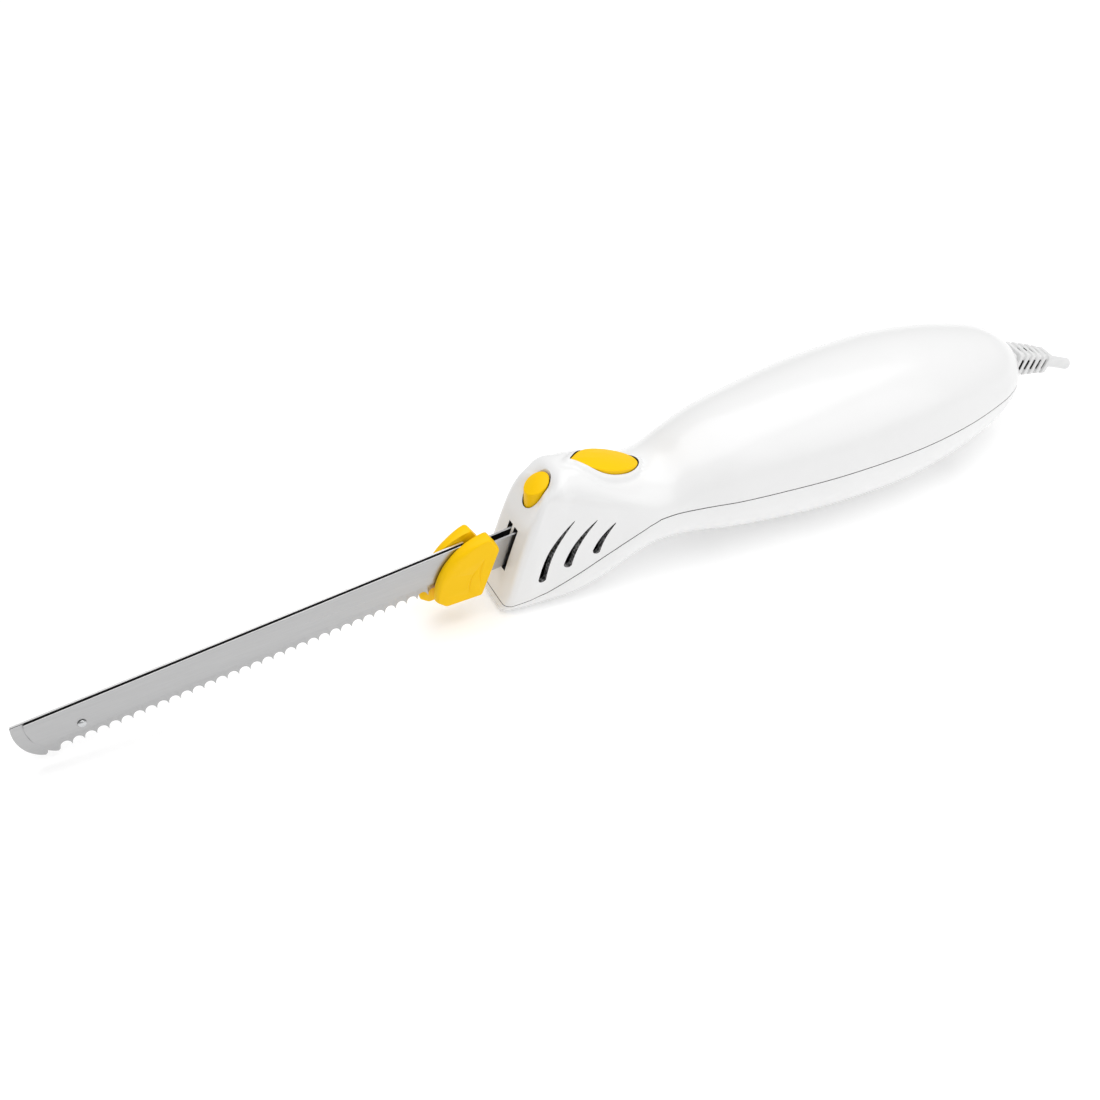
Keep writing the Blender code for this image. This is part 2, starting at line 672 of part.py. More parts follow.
def add_carrier(name, side, shift):
    """Sliding drive bar: a block that grips the tang and a plate with the yoke hole."""
    cx, cz = WHEEL_X, WHEEL_Z
    du = (cx - TOOTH_ORIGIN[0]) * math.cos(PITCH) + (cz - TOOTH_ORIGIN[1]) * math.sin(PITCH)
    dv = -(cx - TOOTH_ORIGIN[0]) * math.sin(PITCH) + (cz - TOOTH_ORIGIN[1]) * math.cos(PITCH)
    rel = -side * CRANK
    reach_u, reach_v = ECCENTRIC_R + 0.7, ECCENTRIC_R + CRANK + 0.5
    front = CARRIER_FRONT + shift
    plate = [(front, 6), (front + 4, 6), (du + rel - reach_u - 2.2, dv - reach_v - 0.9),
             (du + rel + reach_u + 2.2, dv - reach_v - 0.9), (du + rel + reach_u + 2.2, 15.0), (front, 15.0)]
    bar = add_object(name, *blade_prism(plate, side * CARRIER_IN, side * CARRIER_OUT), NYLON)
    block = [(front + 0.4, 6.4), (front + 8.0, 6.4), (front + 8.0, 14.5), (front + 0.4, 14.5)]
    grip = blade_prism(block, side * (TANG_INNER + TANG_THICK + FIT), side * (CARRIER_IN + 0.4))
    boolean(bar, add_object(name + "_grip", *grip, NYLON), "UNION")
    hole = []
    for k in range(24):
        angle = 2 * math.pi * k / 24
        tall = math.copysign(reach_v - reach_u, math.sin(angle))
        hole.append((du + rel + reach_u * math.cos(angle), dv + reach_u * math.sin(angle) + tall))
    boolean(bar, add_object(name + "_yoke", *blade_prism(hole, 0.0, side * 12), NYLON))
    x, z = blade_xz(LATCH_UV[0] + shift, LATCH_UV[1])
    window = cylinder((x, 0, z), (0, side, 0), 1.4 + FIT, 12, 12)
    boolean(bar, add_object(name + "_window", *window, NYLON))
    return bar


def add_latch(name, side, shift):
    """Spring-steel tongue whose peg drops into the hole of the tang."""
    u, v = LATCH_UV[0] + shift, LATCH_UV[1]
    y0, y1 = side * (CARRIER_OUT + FIT), side * (CARRIER_OUT + FIT + 0.6)
    strip = [(u - 2.6, v - 1.9), (u + 9.0, v - 1.9), (u + 9.0, v + 1.9), (u - 2.6, v + 1.9)]
    tongue = add_object(name, *blade_prism(strip, y0, y1), STEEL)
    x, z = blade_xz(u, v)
    length = CARRIER_OUT + FIT + 0.3 - TANG_INNER
    peg = cylinder((x, side * (TANG_INNER + 0.3), z), (0, side, 0), 1.4, length, 12)
    boolean(tongue, add_object(name + "_peg", *peg, STEEL), "UNION")
    return tongue


def add_gear_frame():
    """Two side plates that carry the axle, tied by a floor bar."""
    for name, side in (("left_frame_plate", -1), ("right_frame_plate", 1)):
        outline = [(-22, 12), (-18, 10.2), (-5, 10.2), (7, 17), (7, 29), (0, 38.5), (-16, 38.5), (-22, 28)]
        plate = add_object(name, *prism(outline, side * 9.4, side * 10.9), DARK_STEEL)
        hole = cylinder((WHEEL_X, side * 5, WHEEL_Z), (0, side, 0), 2.0 + FIT, 12, 14)
        boolean(plate, add_object(name + "_hole", *hole, DARK_STEEL))
    add_object("frame_spacer", *cylinder((4.4, -9.1, 19.0), (0, 1, 0), 1.8, 18.2, 12), DARK_STEEL)
    profile = [(-12.2, 2.9), (-11.2, 2.9), (-11.2, 2.0), (11.4, 2.0), (12.0, 1.5)]
    add_object("wheel_axle", *lathe(profile, (WHEEL_X, 0, WHEEL_Z), (0, 1, 0), 16), STEEL)


WORM_START = -18.5
WORM_LENGTH = 17.0


def add_armature_shaft():
    """Shaft with the one-start worm formed on its front end."""
    module = 2 * WHEEL_PITCH_R / WHEEL_TEETH
    lead = math.pi * module
    crest, root = WORM_PITCH_R + module * 0.7, WORM_PITCH_R - module * 1.05
    segments = 16
    rows = 44
    rings = []

    def ring(x, radius_of):
        points = []
        for k in range(segments):
            angle = 2 * math.pi * k / segments
            r = radius_of(angle)
            points.append((x, r * math.sin(angle), SHAFT_Z + r * math.cos(angle)))
        return points

    for x in (WORM_START - 1.6, WORM_START - 0.2):
        rings.append(ring(x, lambda angle: 2.0))
    for n in range(rows + 1):
        x = WORM_START + WORM_LENGTH * n / rows
        ends = smooth(min(n, rows - n) / 8)

        def radius(angle, x=x, ends=ends):
            # a gap of the worm faces the wheel tooth at the bottom, x = WHEEL_X
            phase = ((x - WHEEL_X) / lead + (angle - math.pi) / (2 * math.pi)) % 1.0
            distance = abs(phase - 0.5)
            height = min(1.0, max(0.0, (0.235 - distance) / 0.13))
            return root + (crest - root) * height * ends
        rings.append(ring(x, radius))
    worm_end = WORM_START + WORM_LENGTH + 0.3
    for x, r in ((worm_end, SHAFT_R), (SHAFT_END - 1, SHAFT_R), (SHAFT_END, SHAFT_R - 0.7)):
        rings.append(ring(x, lambda angle, r=r: r))
    add_object("armature_shaft", *loft(rings), STEEL, 30)


# ---------------------------------------------------------------- motor
STATOR_R = 25.0
STATOR_X = (82.0, 110.0)
SEAT_WIDTH = 2.5
SEATS = ((31.5, 12.0), (85.0, STATOR_R), (104.5, STATOR_R), (128.5, 24.0))   # x, radius held
CORE_R = 12.8
SHAFT_END = 136.0


def on_shaft(name, profile, x, spec, segments=20):
    """A ring on the armature shaft: profile of (distance, radius), bore last."""
    return add_object(name, *lathe(profile, (x, 0, SHAFT_Z), (1, 0, 0), segments, bore=True), spec)


def add_armature():
    bore = SHAFT_R + FIT
    length = STATOR_X[1] - STATOR_X[0]
    core = [(0, bore), (0, CORE_R), (length, CORE_R), (length, bore)]
    on_shaft("armature_core", core, STATOR_X[0], LAMINATE, 24)
    winding = [(0, bore), (0, 6.0), (1.8, 8.2), (5.6, 8.2), (5.6, bore)]
    on_shaft("front_winding", winding, STATOR_X[0] - 5.9, COPPER, 18)
    rear = [(0, bore), (0, 8.2), (3.8, 8.2), (5.6, 6.0), (5.6, bore)]
    on_shaft("rear_winding", rear, STATOR_X[1] + FIT, COPPER, 18)
    on_shaft("commutator", [(0, bore), (0, 7.6), (1.2, 7.6), (1.2, 6.9), (8.5, 6.9), (8.5, bore)],
             STATOR_X[1] + 6.3, COPPER, 24)
    add_fan()


def add_fan():
    """Cooling fan: hub, back disc and nine radial blades."""
    x0, x1, bore = 58.0, 66.0, SHAFT_R + FIT
    fan = on_shaft("cooling_fan", [(0, bore), (0, 5.5), (6.6, 5.5), (6.6, 18.0), (8.0, 18.0), (8.0, bore)],
                   x0, BLACK, 24)
    count = 9
    for n in range(count):
        angle = 2 * math.pi * n / count
        radial = Vector((0, math.cos(angle), math.sin(angle)))
        across = Vector((0, -math.sin(angle), math.cos(angle)))
        rings = []
        for x in (x0 + 0.4, x1 - 1.0):
            ring = []
            for r, w in ((5.0, -0.6), (17.6, -0.6), (17.6, 0.6), (5.0, 0.6)):
                ring.append(tuple(Vector((x, 0, SHAFT_Z)) + radial * r + across * w))
            rings.append(ring)
        boolean(fan, add_object(f"fan_blade_{n}", *loft(rings), BLACK), "UNION")


def add_stator():
    """Laminated two-pole stator: flat-sided ring with a pole above and below the bore."""
    ring = [(0, 20.2), (0, STATOR_R), (28, STATOR_R), (28, 20.2)]
    stator = on_shaft("stator_core", ring, STATOR_X[0], LAMINATE, 36)
    for side in (-1, 1):
        low, high = (13.2, 21.5) if side > 0 else (-21.5, -13.2)
        pole = box(STATOR_X[0], STATOR_X[1], -9.6, 9.6, SHAFT_Z + low, SHAFT_Z + high)
        boolean(stator, add_object(f"pole_{side}", *pole, LAMINATE), "UNION")
    for name, side in (("upper_field_coil", 1), ("lower_field_coil", -1)):
        middle = (STATOR_X[0] + STATOR_X[1]) / 2
        rings = []
        sizes = ((15.0, 10.6, 9.0), (20.2, 14.6, 9.0), (20.2, 14.6, 12.6), (15.0, 10.6, 12.6))
        for half_x, half_y, low in sizes:
            corner = 2.0
            ring = []
            for sx, sy in ((1, 1), (-1, 1), (-1, -1), (1, -1)):
                pair = [(half_x, half_y - corner), (half_x - corner, half_y)]
                for x, y in (pair if sx * sy > 0 else pair[::-1]):
                    ring.append((middle + sx * x, sy * y, SHAFT_Z + side * low))
            rings.append(ring)
        vertices, faces = loft(rings + [rings[0]])
        count = len(rings) * len(rings[0])
        faces = [tuple(v % count for v in f) for f in faces if len(f) == 4]
        add_object(name, vertices[:count], faces, COPPER)


def add_bearings():
    for name, x in (("front_bush", 30.0), ("rear_bush", 127.0)):
        on_shaft(name, [(0, SHAFT_R + 0.06), (0, 5.0), (6, 5.0), (6, SHAFT_R + 0.06)], x, BRASS, 20)
    for name, (x, radius) in (("front_bearing_plate", SEATS[0]), ("rear_bearing_plate", SEATS[-1])):
        plate = [(0, 5.0 + FIT), (0, radius), (SEAT_WIDTH, radius), (SEAT_WIDTH, 5.0 + FIT)]
        on_shaft(name, plate, x, BLACK, 28)


def add_brushes():
    """Carbon brushes in open-ended brass holders on either side of the commutator."""
    x = STATOR_X[1] + 6.3 + 4.9
    for name, side in (("left", -1), ("right", 1)):
        brush = box(x - 2, x + 2, side * 7.3, side * 14.5, SHAFT_Z - 2.4, SHAFT_Z + 2.4)
        add_object(f"{name}_brush", *brush, CARBON)
        outer = box(x - 3.1, x + 3.1, side * 9.0, side * 21.0, SHAFT_Z - 3.5, SHAFT_Z + 3.5)
        holder = add_object(f"{name}_brush_holder", *outer, BRASS)
        hollow = box(x - 2.3, x + 2.3, side * 7.0, side * 20.2, SHAFT_Z - 2.7, SHAFT_Z + 2.7)
        boolean(holder, add_object(f"{name}_holder_hollow", *hollow, BRASS))
        add_object(f"{name}_brush_spring",
                   *coil((x, side * 15.1, SHAFT_Z), (0, side, 0), 1.6, 0.25, 4.4, 3), STEEL)


# ---------------------------------------------------------------- wiring and cord
RELIEF_HALF = 4.6
CORD_R = 2.7
CORD_PATH = ((189.0, AXIS_Z), (202.0, AXIS_Z), (213.0, 35.9), (225.0, 32.4), (238.0, 27.3), (254.0, 19.8))


def cord_point(t):
    """Point and direction on the cord's centre line, t from 0 to 1."""
    rows = [(k, x, z) for k, (x, z) in enumerate(CORD_PATH)]
    s = t * (len(rows) - 1)
    x, z = spline(rows, s)
    xa, za = spline(rows, max(0.0, s - 0.05))
    xb, zb = spline(rows, min(len(rows) - 1.0, s + 0.05))
    return Vector((x, 0, z)), Vector((xb - xa, 0, zb - za)).normalized()


def t_at(x):
    low, high = 0.0, 1.0
    for _ in range(40):
        middle = (low + high) / 2
        if cord_point(middle)[0].x < x:
            low = middle
        else:
            high = middle
    return low


def square_ring(t, half, corner=1.2):
    """Rounded-square ring around the cord at t."""
    centre, direction = cord_point(t)
    side, up = Vector((0, 1, 0)), Vector((-direction.z, 0, direction.x))
    ring = []
    for sy, sz in ((1, 1), (-1, 1), (-1, -1), (1, -1)):
        pair = [(half, half - corner), (half - corner, half)]
        for a, b in (pair if sy * sz > 0 else pair[::-1]):
            ring.append(tuple(centre + side * (sy * a) + up * (sz * b)))
    return ring


def add_strain_relief():
    """Ribbed boot: a flange inside the shell, then ribs and grooves that get smaller."""
    ribs = 6
    start, end = t_at(204.7), t_at(238.0)
    rings = [square_ring(start, 6.6), square_ring(t_at(206.4), 6.6), square_ring(t_at(206.5), RELIEF_HALF)]
    first = t_at(215.6)
    rings.append(square_ring(first, RELIEF_HALF))
    for n in range(ribs):
        for f, big in ((0.02, True), (0.5, True), (0.52, False), (0.98, False)):
            if n == ribs - 1 and not big:
                continue
            t = lerp(first, end, (n + f) / (ribs - 0.5))
            size = lerp(6.3, 4.9, n / (ribs - 1)) - (0.0 if big else 1.5)
            rings.append(square_ring(t, size))
    boot = add_object("strain_relief", *loft(rings), GREY)
    bore = [cord_point(lerp(t_at(198), t_at(245), k / 16))[0] for k in range(17)]
    boolean(boot, add_object("relief_bore", *tube(bore, CORD_R + FIT, 12), GREY))
    return boot


def add_cord():
    points = [cord_point(k / 24)[0] for k in range(25)]
    add_object("power_cord", *tube(points, CORD_R, 12), GREY)
    add_object("cord_clamp", *box(192, 200, -8.5, 8.5, AXIS_Z + CORD_R + FIT, AXIS_Z + CORD_R + 3.0), BLACK)
    for name, side in (("left_clamp_screw", -1), ("right_clamp_screw", 1)):
        y = side * 6.2
        profile = [(0, 1.2), (9.4, 1.2), (9.4, 2.3), (11.0, 1.9)]
        top = AXIS_Z + CORD_R + 3.0 + FIT
        add_object(name, *lathe(profile, (196, y, top - 9.4), (0, 0, 1), 12), STEEL)
        clamp = bpy.data.objects["cord_clamp"]
        hole = cylinder((196, y, 30), (0, 0, 1), 1.2 + FIT, 20, 12)
        boolean(clamp, add_object(name + "_hole", *hole, BLACK))


def add_wires():
    """Two leads from the cord, one to the switch and one to the stator."""
    live = [(187, -1.8, 34), (176, -6, 40), (160, -13, 49), (140, -17, 53.8), (130, -17.4, 54.6),
            (100, -14, 58.2), (82, -12.5, 57), (72, -11.5, 55.6), (58, -9.5, 52.5), (46, -7.5, 50.5),
            (40, -7.5, 48.5), (32.5, -7, 45.6), (26, -4.5, 44.2), (18, -2, 42)]
    neutral = [(187, 1.8, 34), (179, 6, 40), (166, 12, 47), (148, 18, 49.5), (134, 21.5, 49.5),
               (126, 22, 48), (121.5, 23.5, 40)]
    link = [(18, 2, 42), (26, 4.5, 44.2), (32.5, 7, 45.6), (40, 7.5, 48.5), (48, 8, 51), (58, 12, 53.3),
            (68, 14, 52), (77, 12, 48)]
    leads = (("live_wire", live, BROWN), ("neutral_wire", neutral, BLUE), ("switch_wire", link, BROWN))
    for name, points, spec in leads:
        rows = [(k, *p) for k, p in enumerate(points)]
        count = (len(points) - 1) * 2
        path = [spline(rows, k / 2) for k in range(count + 1)]
        add_object(name, *tube(path, 0.9, 6), spec)
    add_object("suppressor", *box(140, 156, -7, 7, 12, 24), FILM)


def add_housing_screws():
    for n, (x, y) in enumerate(SCREWS, 1):
        profile = [(0, 2.9), (0.6, 3.3), (2.2, 3.3), (2.2, 1.5), (21.0, 1.5), (22.4, 0.5)]
        z = SCREW_HEAD_Z - 2.2 - FIT
        add_object(f"housing_screw_{n}", *lathe(profile, (x, y, z), (0, 0, 1), 14), STEEL)


# ---------------------------------------------------------------- assembly
def clear_scene():
    for item in list(bpy.data.objects):
        bpy.data.objects.remove(item)


def main():
    clear_scene()
    left_shift, right_shift = CRANK, -CRANK
    left = add_blade("left_blade", -1, left_shift)
    right = add_blade("right_blade", 1, right_shift)
    add_tip_rivet(left, right, left_shift, right_shift)
    add_guard("left_guard", -1, left_shift)
    add_guard("right_guard", 1, right_shift)
    add_carrier("left_carrier", -1, left_shift)
    add_carrier("right_carrier", 1, right_shift)
    add_latch("left_latch", -1, left_shift)
    add_latch("right_latch", 1, right_shift)
    add_shell("upper_shell", True)
    add_shell("lower_shell", False)
    add_release_button()
    add_release_fork()
    add_release_spring()
    add_trigger()
    add_switch()
    add_gear_frame()
    add_worm_wheel()
    add_armature_shaft()
    add_armature()
    add_stator()
    add_bearings()
    add_brushes()
    add_strain_relief()
    add_cord()
    add_wires()
    add_housing_screws()


main()
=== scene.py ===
"""Looks of a corded electric knife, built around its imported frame.

The frame gives metres, +Z up, the blade tips towards -X and the cord towards +X. Shapes
here are written in millimetres and turned into metres by one helper. The blades lie in a
blade frame: u runs along the cutting edge towards the handle and v stands square on it.
"""
import math

import bmesh
import bpy
import numpy as np
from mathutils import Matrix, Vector


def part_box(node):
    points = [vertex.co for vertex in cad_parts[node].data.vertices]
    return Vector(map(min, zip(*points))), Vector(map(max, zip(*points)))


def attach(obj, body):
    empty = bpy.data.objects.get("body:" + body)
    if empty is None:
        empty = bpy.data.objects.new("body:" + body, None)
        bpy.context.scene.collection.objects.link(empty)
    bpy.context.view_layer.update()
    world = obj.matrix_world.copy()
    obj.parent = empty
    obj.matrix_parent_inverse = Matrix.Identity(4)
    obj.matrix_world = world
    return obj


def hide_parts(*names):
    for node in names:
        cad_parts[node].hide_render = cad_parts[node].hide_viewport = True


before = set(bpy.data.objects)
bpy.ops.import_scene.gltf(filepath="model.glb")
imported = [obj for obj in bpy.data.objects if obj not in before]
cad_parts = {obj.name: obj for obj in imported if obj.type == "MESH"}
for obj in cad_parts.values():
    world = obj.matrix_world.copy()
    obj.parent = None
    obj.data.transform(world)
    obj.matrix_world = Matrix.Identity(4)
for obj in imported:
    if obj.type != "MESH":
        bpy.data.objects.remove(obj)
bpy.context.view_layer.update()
MM = 0.001


# ------------------------------------------------------------------ sizes, millimetres
TAIL_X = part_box("lower_shell")[1].x / MM
AXIS_Z = 33.8
SEAM_Z = 35.2
WALL = 2.4
FRONT_S = TAIL_X - 262.2      # floor-level x of the front face
FRONT_RADIUS = 3.0

PITCH = math.radians(4.5)
TOOTH_ORIGIN = (-225.0, 5.3)
TOOTH_PITCH = 4.8
TOOTH_DEPTH = 2.9
TOOTH_COUNT = 35
BLADE_HEIGHT = 20.0
BLADE_GAP = 0.15
BLADE_THICK = 1.1
CRANK = 2.4
BEVEL_HEIGHT = 6.4           # the ground band above the teeth
EDGE_THICK = 0.25
NOSE_CENTRE = (-4.0, 15.0)
NOSE_RADII = (12.0, 16.6)
TANG_SPAN = (166.0, 202.1)
TANG_V = (1.0, 16.0)
TANG_Y = 2.35                 # outer face of the tang
BLADE_END = 176.0
RIVET = (4.0, 9.5)
LATCH = (199.5, 9.6)

STATIONS = (                  # x, half width, top z, bottom z
    (-47.0, 13.0, 58.2, -1.0), (-40.0, 14.8, 62.3, -1.0), (-32.0, 16.0, 63.6, -0.9),
    (-20.0, 17.5, 62.2, -0.4), (-8.0, 18.8, 59.2, 2.4), (4.0, 20.2, 55.4, 7.0),
    (18.0, 21.5, 51.0, 12.0), (28.0, 21.7, 51.0, 12.1), (40.0, 23.6, 56.2, 10.2),
    (55.0, 27.0, 60.9, 6.9), (75.0, 30.0, 63.9, 3.9), (100.0, 32.8, 66.6, 1.2),
    (128.0, 33.8, 67.6, 0.0), (150.0, 32.9, 66.9, 0.9), (172.5, 29.6, 63.6, 4.6),
    (190.3, 25.0, 59.2, 9.2), (200.5, 21.2, 55.2, 13.2), (208.6, 16.0, 49.6, 18.4),
    (213.4, 10.0, 43.8, 23.9), (215.2, 5.0, 38.8, 28.8),
)
SEAM = ((-70.0, 4.5), (-44.0, 5.6), (-30.0, 9.6), (-12.0, 19.0), (4.0, 27.6), (15.0, 33.6),
        (20.0, SEAM_Z), (300.0, SEAM_Z))
SEAM_GAP = 0.4
CORD_OPENING = (203, 225, -5.2, 5.2, AXIS_Z - 4.1, AXIS_Z + 7.3)
SCREWS = ((46.0, 16.0), (46.0, -16.0), (174.0, 18.0), (174.0, -18.0))
SCREW_HEAD_Z = 24.0
SEATS = ((31.5, 12.0), (85.0, 25.0), (104.5, 25.0), (128.5, 24.0))
SEAT_WIDTH = 2.5
BOSS_R = 4.7
SHAFT_Z = 33.5

BUTTON_X = -26.7
BUTTON_R = 5.2
BUTTON_GAP = 0.55
BUTTON_TOP = 58.4            # middle of the sloping crown
TRIGGER_FRONT = (-11.5, 63.6)
TRIGGER_REAR = (19.2, 51.0)
TRIGGER_HALF_WIDTH = 7.8
VENTS = (                     # top x, z; bottom x, z; bulge; half width at the bottom
    (-16.8, 44.6, -31.6, 18.6, 2.4, 1.9),
    (-7.4, 42.4, -20.4, 23.2, 1.8, 1.85),
    (0.4, 39.0, -8.0, 26.8, 1.0, 1.75),
)
CORD_R = 2.7
CORD_PATH = (                 # x, z
    (189.0, AXIS_Z), (202.0, AXIS_Z), (213.0, 35.9), (225.0, 32.4), (238.0, 27.3), (254.0, 19.8),
)


# ------------------------------------------------------------------ small helpers
def lerp(a, b, t):
    return a + (b - a) * t


def smooth(t):
    t = np.clip(t, 0.0, 1.0)
    return t * t * (3 - 2 * t)


def spline(rows, x):
    """Smooth curve through rows of (x, value, ...), one value per column after x."""
    last = len(rows) - 2
    i = next((k for k in range(last + 1) if x <= rows[k + 1][0]), last)
    p1, p2 = rows[i], rows[i + 1]
    p0, p3 = rows[max(i - 1, 0)], rows[min(i + 2, last + 1)]
    span = p2[0] - p1[0]
    t = min(1.0, max(0.0, (x - p1[0]) / span))
    out = []
    for c in range(1, len(p1)):
        m1 = (p2[c] - p0[c]) / max(p2[0] - p0[0], 1e-9) * span
        m2 = (p3[c] - p1[c]) / max(p3[0] - p1[0], 1e-9) * span
        h = (2 * t**3 - 3 * t**2 + 1, t**3 - 2 * t**2 + t, -2 * t**3 + 3 * t**2, t**3 - t**2)
        out.append(h[0] * p1[c] + h[1] * m1 + h[2] * p2[c] + h[3] * m2)
    return out


def add_mesh(name, vertices, faces, material, sharp=35.0):
    """One object from points in millimetres, outward faces, shaded by angle."""
    mesh = bpy.data.meshes.new(name)
    mesh.from_pydata((np.asarray(vertices, float) * MM).tolist(), [], faces)
    bm = bmesh.new()
    bm.from_mesh(mesh)
    bmesh.ops.recalc_face_normals(bm, faces=bm.faces)
    bm.to_mesh(mesh)
    bm.free()
    mesh.shade_smooth()
    mesh.set_sharp_from_angle(angle=math.radians(sharp))
    mesh.materials.append(material)
    made = bpy.data.objects.new(name, mesh)
    bpy.context.scene.collection.objects.link(made)
    return made


def cut(target, cutter, operation="DIFFERENCE"):
    """Applies a Boolean at once and deletes the cutter."""
    step = target.modifiers.new("cut", "BOOLEAN")
    step.object = cutter
    step.operation = operation
    step.solver = "EXACT"
    graph = bpy.context.evaluated_depsgraph_get()
    graph.update()
    result = bpy.data.meshes.new_from_object(target.evaluated_get(graph))
    target.modifiers.clear()
    target.data = result
    bpy.data.objects.remove(cutter)
    return target


def loft(rings):
    """Vertices and faces through closed rings of equal length, with a cap at each end."""
    count = len(rings[0])
    vertices = [tuple(p) for ring in rings for p in ring]
    faces = []
    total = len(rings)
    for k in range(total - 1):
        for i in range(count):
            j = (i + 1) % count
            a, b = k * count, (k + 1) * count
            faces.append((a + i, a + j, b + j, b + i))
    faces.append(tuple(range(count)))
    faces.append(tuple((total - 1) * count + i for i in range(count)))
    return vertices, faces


def prism(outline, y0, y1):
    """An outline in x and z, carried from y0 to y1."""
    return loft([[(x, y, z) for x, z in outline] for y in (y0, y1)])


def block(x0, x1, y0, y1, z0, z1):
    return prism([(x0, z0), (x1, z0), (x1, z1), (x0, z1)], y0, y1)


def lathe(profile, origin, direction, segments=48):
    """Turns (distance along the axis, radius) points about the axis, with flat ends."""
    d = Vector(direction).normalized()
    side = d.cross(Vector((0, 0, 1)))
    side = Vector((0, 1, 0)) if side.length < 1e-6 else side.normalized()
    up = side.cross(d)
    rings = []
    for along, radius in profile:
        ring = []
        for k in range(segments):
            angle = 2 * math.pi * k / segments
            outward = side * math.cos(angle) + up * math.sin(angle)
            ring.append(Vector(origin) + d * along + outward * radius)
        rings.append(ring)
    return loft(rings)


def tube(points, radius, segments=24):
    """A round bar along a path."""
    path = [Vector(p) for p in points]
    rings = []
    side = None
    for i, p in enumerate(path):
        tangent = (path[min(i + 1, len(path) - 1)] - path[max(i - 1, 0)]).normalized()
        side = side or tangent.orthogonal().normalized()
        side = (side - tangent * side.dot(tangent)).normalized()
        up = tangent.cross(side)
        angles = [2 * math.pi * k / segments for k in range(segments)]
        rings.append([p + (side * math.cos(a) + up * math.sin(a)) * radius for a in angles])
    return loft(rings)


def blade_xz(u, v):
    """World x, z of a point u along the tooth line and v above it."""
    x = TOOTH_ORIGIN[0] + u * math.cos(PITCH) - v * math.sin(PITCH)
    z = TOOTH_ORIGIN[1] + u * math.sin(PITCH) + v * math.cos(PITCH)
    return x, z


def blade_prism(outline, y0, y1):
    return prism([blade_xz(u, v) for u, v in outline], y0, y1)


def place(piece, body, slot, *nodes):
    """The piece rides on a body and stands for these frame nodes."""
    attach(piece, body)
    if nodes:
        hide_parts(*nodes)
    return piece


# ------------------------------------------------------------------ materials
class Shader:
    """A short way to write node materials around one Principled BSDF."""

    def __init__(self, name, colour, roughness, metallic=0.0, **fixed):
        self.material = bpy.data.materials.new(name)
        self.material.use_nodes = True
        self.tree = self.material.node_tree
        self.bsdf = self.tree.nodes["Principled BSDF"]
        self.bsdf.inputs["Base Color"].default_value = (*colour, 1.0)
        self.bsdf.inputs["Roughness"].default_value = roughness
        self.bsdf.inputs["Metallic"].default_value = metallic
        for label, value in fixed.items():
            self.bsdf.inputs[label.replace("_", " ")].default_value = value
        self.height = None

    def node(self, kind, **inputs):
        made = self.tree.nodes.new(kind)
        for label, value in inputs.items():
            socket = made.inputs[label.replace("_", " ")]
            if isinstance(value, bpy.types.NodeSocket):
                self.tree.links.new(value, socket)
            else:
                socket.default_value = value
        return made

    def place(self, stretch=(1.0, 1.0, 1.0), turn=(0.0, 0.0, 0.0)):
        """Object coordinates, stretched and turned."""
        source = self.node("ShaderNodeTexCoord")
        return self.node("ShaderNodeMapping", Vector=source.outputs["Object"], Scale=stretch,
                         Rotation=turn).outputs["Vector"]

    def noise(self, size_mm, detail=3.0, stretch=(1.0, 1.0, 1.0), turn=(0.0, 0.0, 0.0)):
        made = self.node("ShaderNodeTexNoise", Vector=self.place(stretch, turn),
                         Scale=1.0 / (size_mm * MM), Detail=detail)
        return made.outputs["Fac"]

    def bands(self, size_mm, direction, distortion=0.0):
        made = self.node("ShaderNodeTexWave", Vector=self.place(), Scale=0.314 / (size_mm * MM),
                         Distortion=distortion)
        made.bands_direction = direction
        return made.outputs["Fac"]

    def remap(self, value, low, high, start=0.3, end=0.7):
        made = self.node("ShaderNodeMapRange", Value=value, From_Min=start, From_Max=end,
                         To_Min=low, To_Max=high)
        return made.outputs["Result"]

    def mix(self, factor, a, b):
        made = self.node("ShaderNodeMix")
        made.data_type = "RGBA"
        self.tree.links.new(factor, made.inputs["Factor"])
        for socket, value in ((made.inputs[6], a), (made.inputs[7], b)):
            if isinstance(value, bpy.types.NodeSocket):
                self.tree.links.new(value, socket)
            else:
                socket.default_value = (*value, 1.0)
        return made.outputs[2]

    def set(self, label, value):
        self.tree.links.new(value, self.bsdf.inputs[label])
        return self

    def bump(self, height, strength, distance_mm):
        made = self.node("ShaderNodeBump", Height=height, Strength=strength,
                         Distance=distance_mm * MM)
        if self.height is not None:
            self.tree.links.new(self.height, made.inputs["Normal"])
        self.height = made.outputs["Normal"]
        self.tree.links.new(self.height, self.bsdf.inputs["Normal"])
        return self


def scaled(colour, factor):
    """A lighter or darker version of a colour."""
    return tuple(c * factor for c in colour)


def moulded(name, colour, roughness, grain=0.35, depth=0.006, variation=0.03, **fixed):
    """Moulded plastic: faint cloudiness, a fine skin texture and a soft change of gloss."""
    s = Shader(name, colour, roughness, Coat_Roughness=0.12, **fixed)
    clouds = s.noise(18.0, 2.0)
    s.set("Base Color", s.mix(s.remap(clouds, 0.0, 1.0), scaled(colour, 1 - variation), colour))
    s.set("Roughness", s.remap(s.noise(30.0, 1.0), roughness - 0.03, roughness + 0.04, 0.0, 1.0))
    if depth:
        s.bump(s.noise(grain, 2.0), 0.35, depth)
    return s.material


def speckled(name, dark, light):
    """Painted shade: a near-black wall flecked with lighter grey."""
    s = Shader(name, dark, 0.7)
    s.set("Base Color", s.mix(s.remap(s.noise(1.1, 3.0), 0.0, 1.0, 0.42, 0.66), dark, light))
    s.bump(s.noise(0.5, 2.0), 0.4, 0.05)
    return s.material


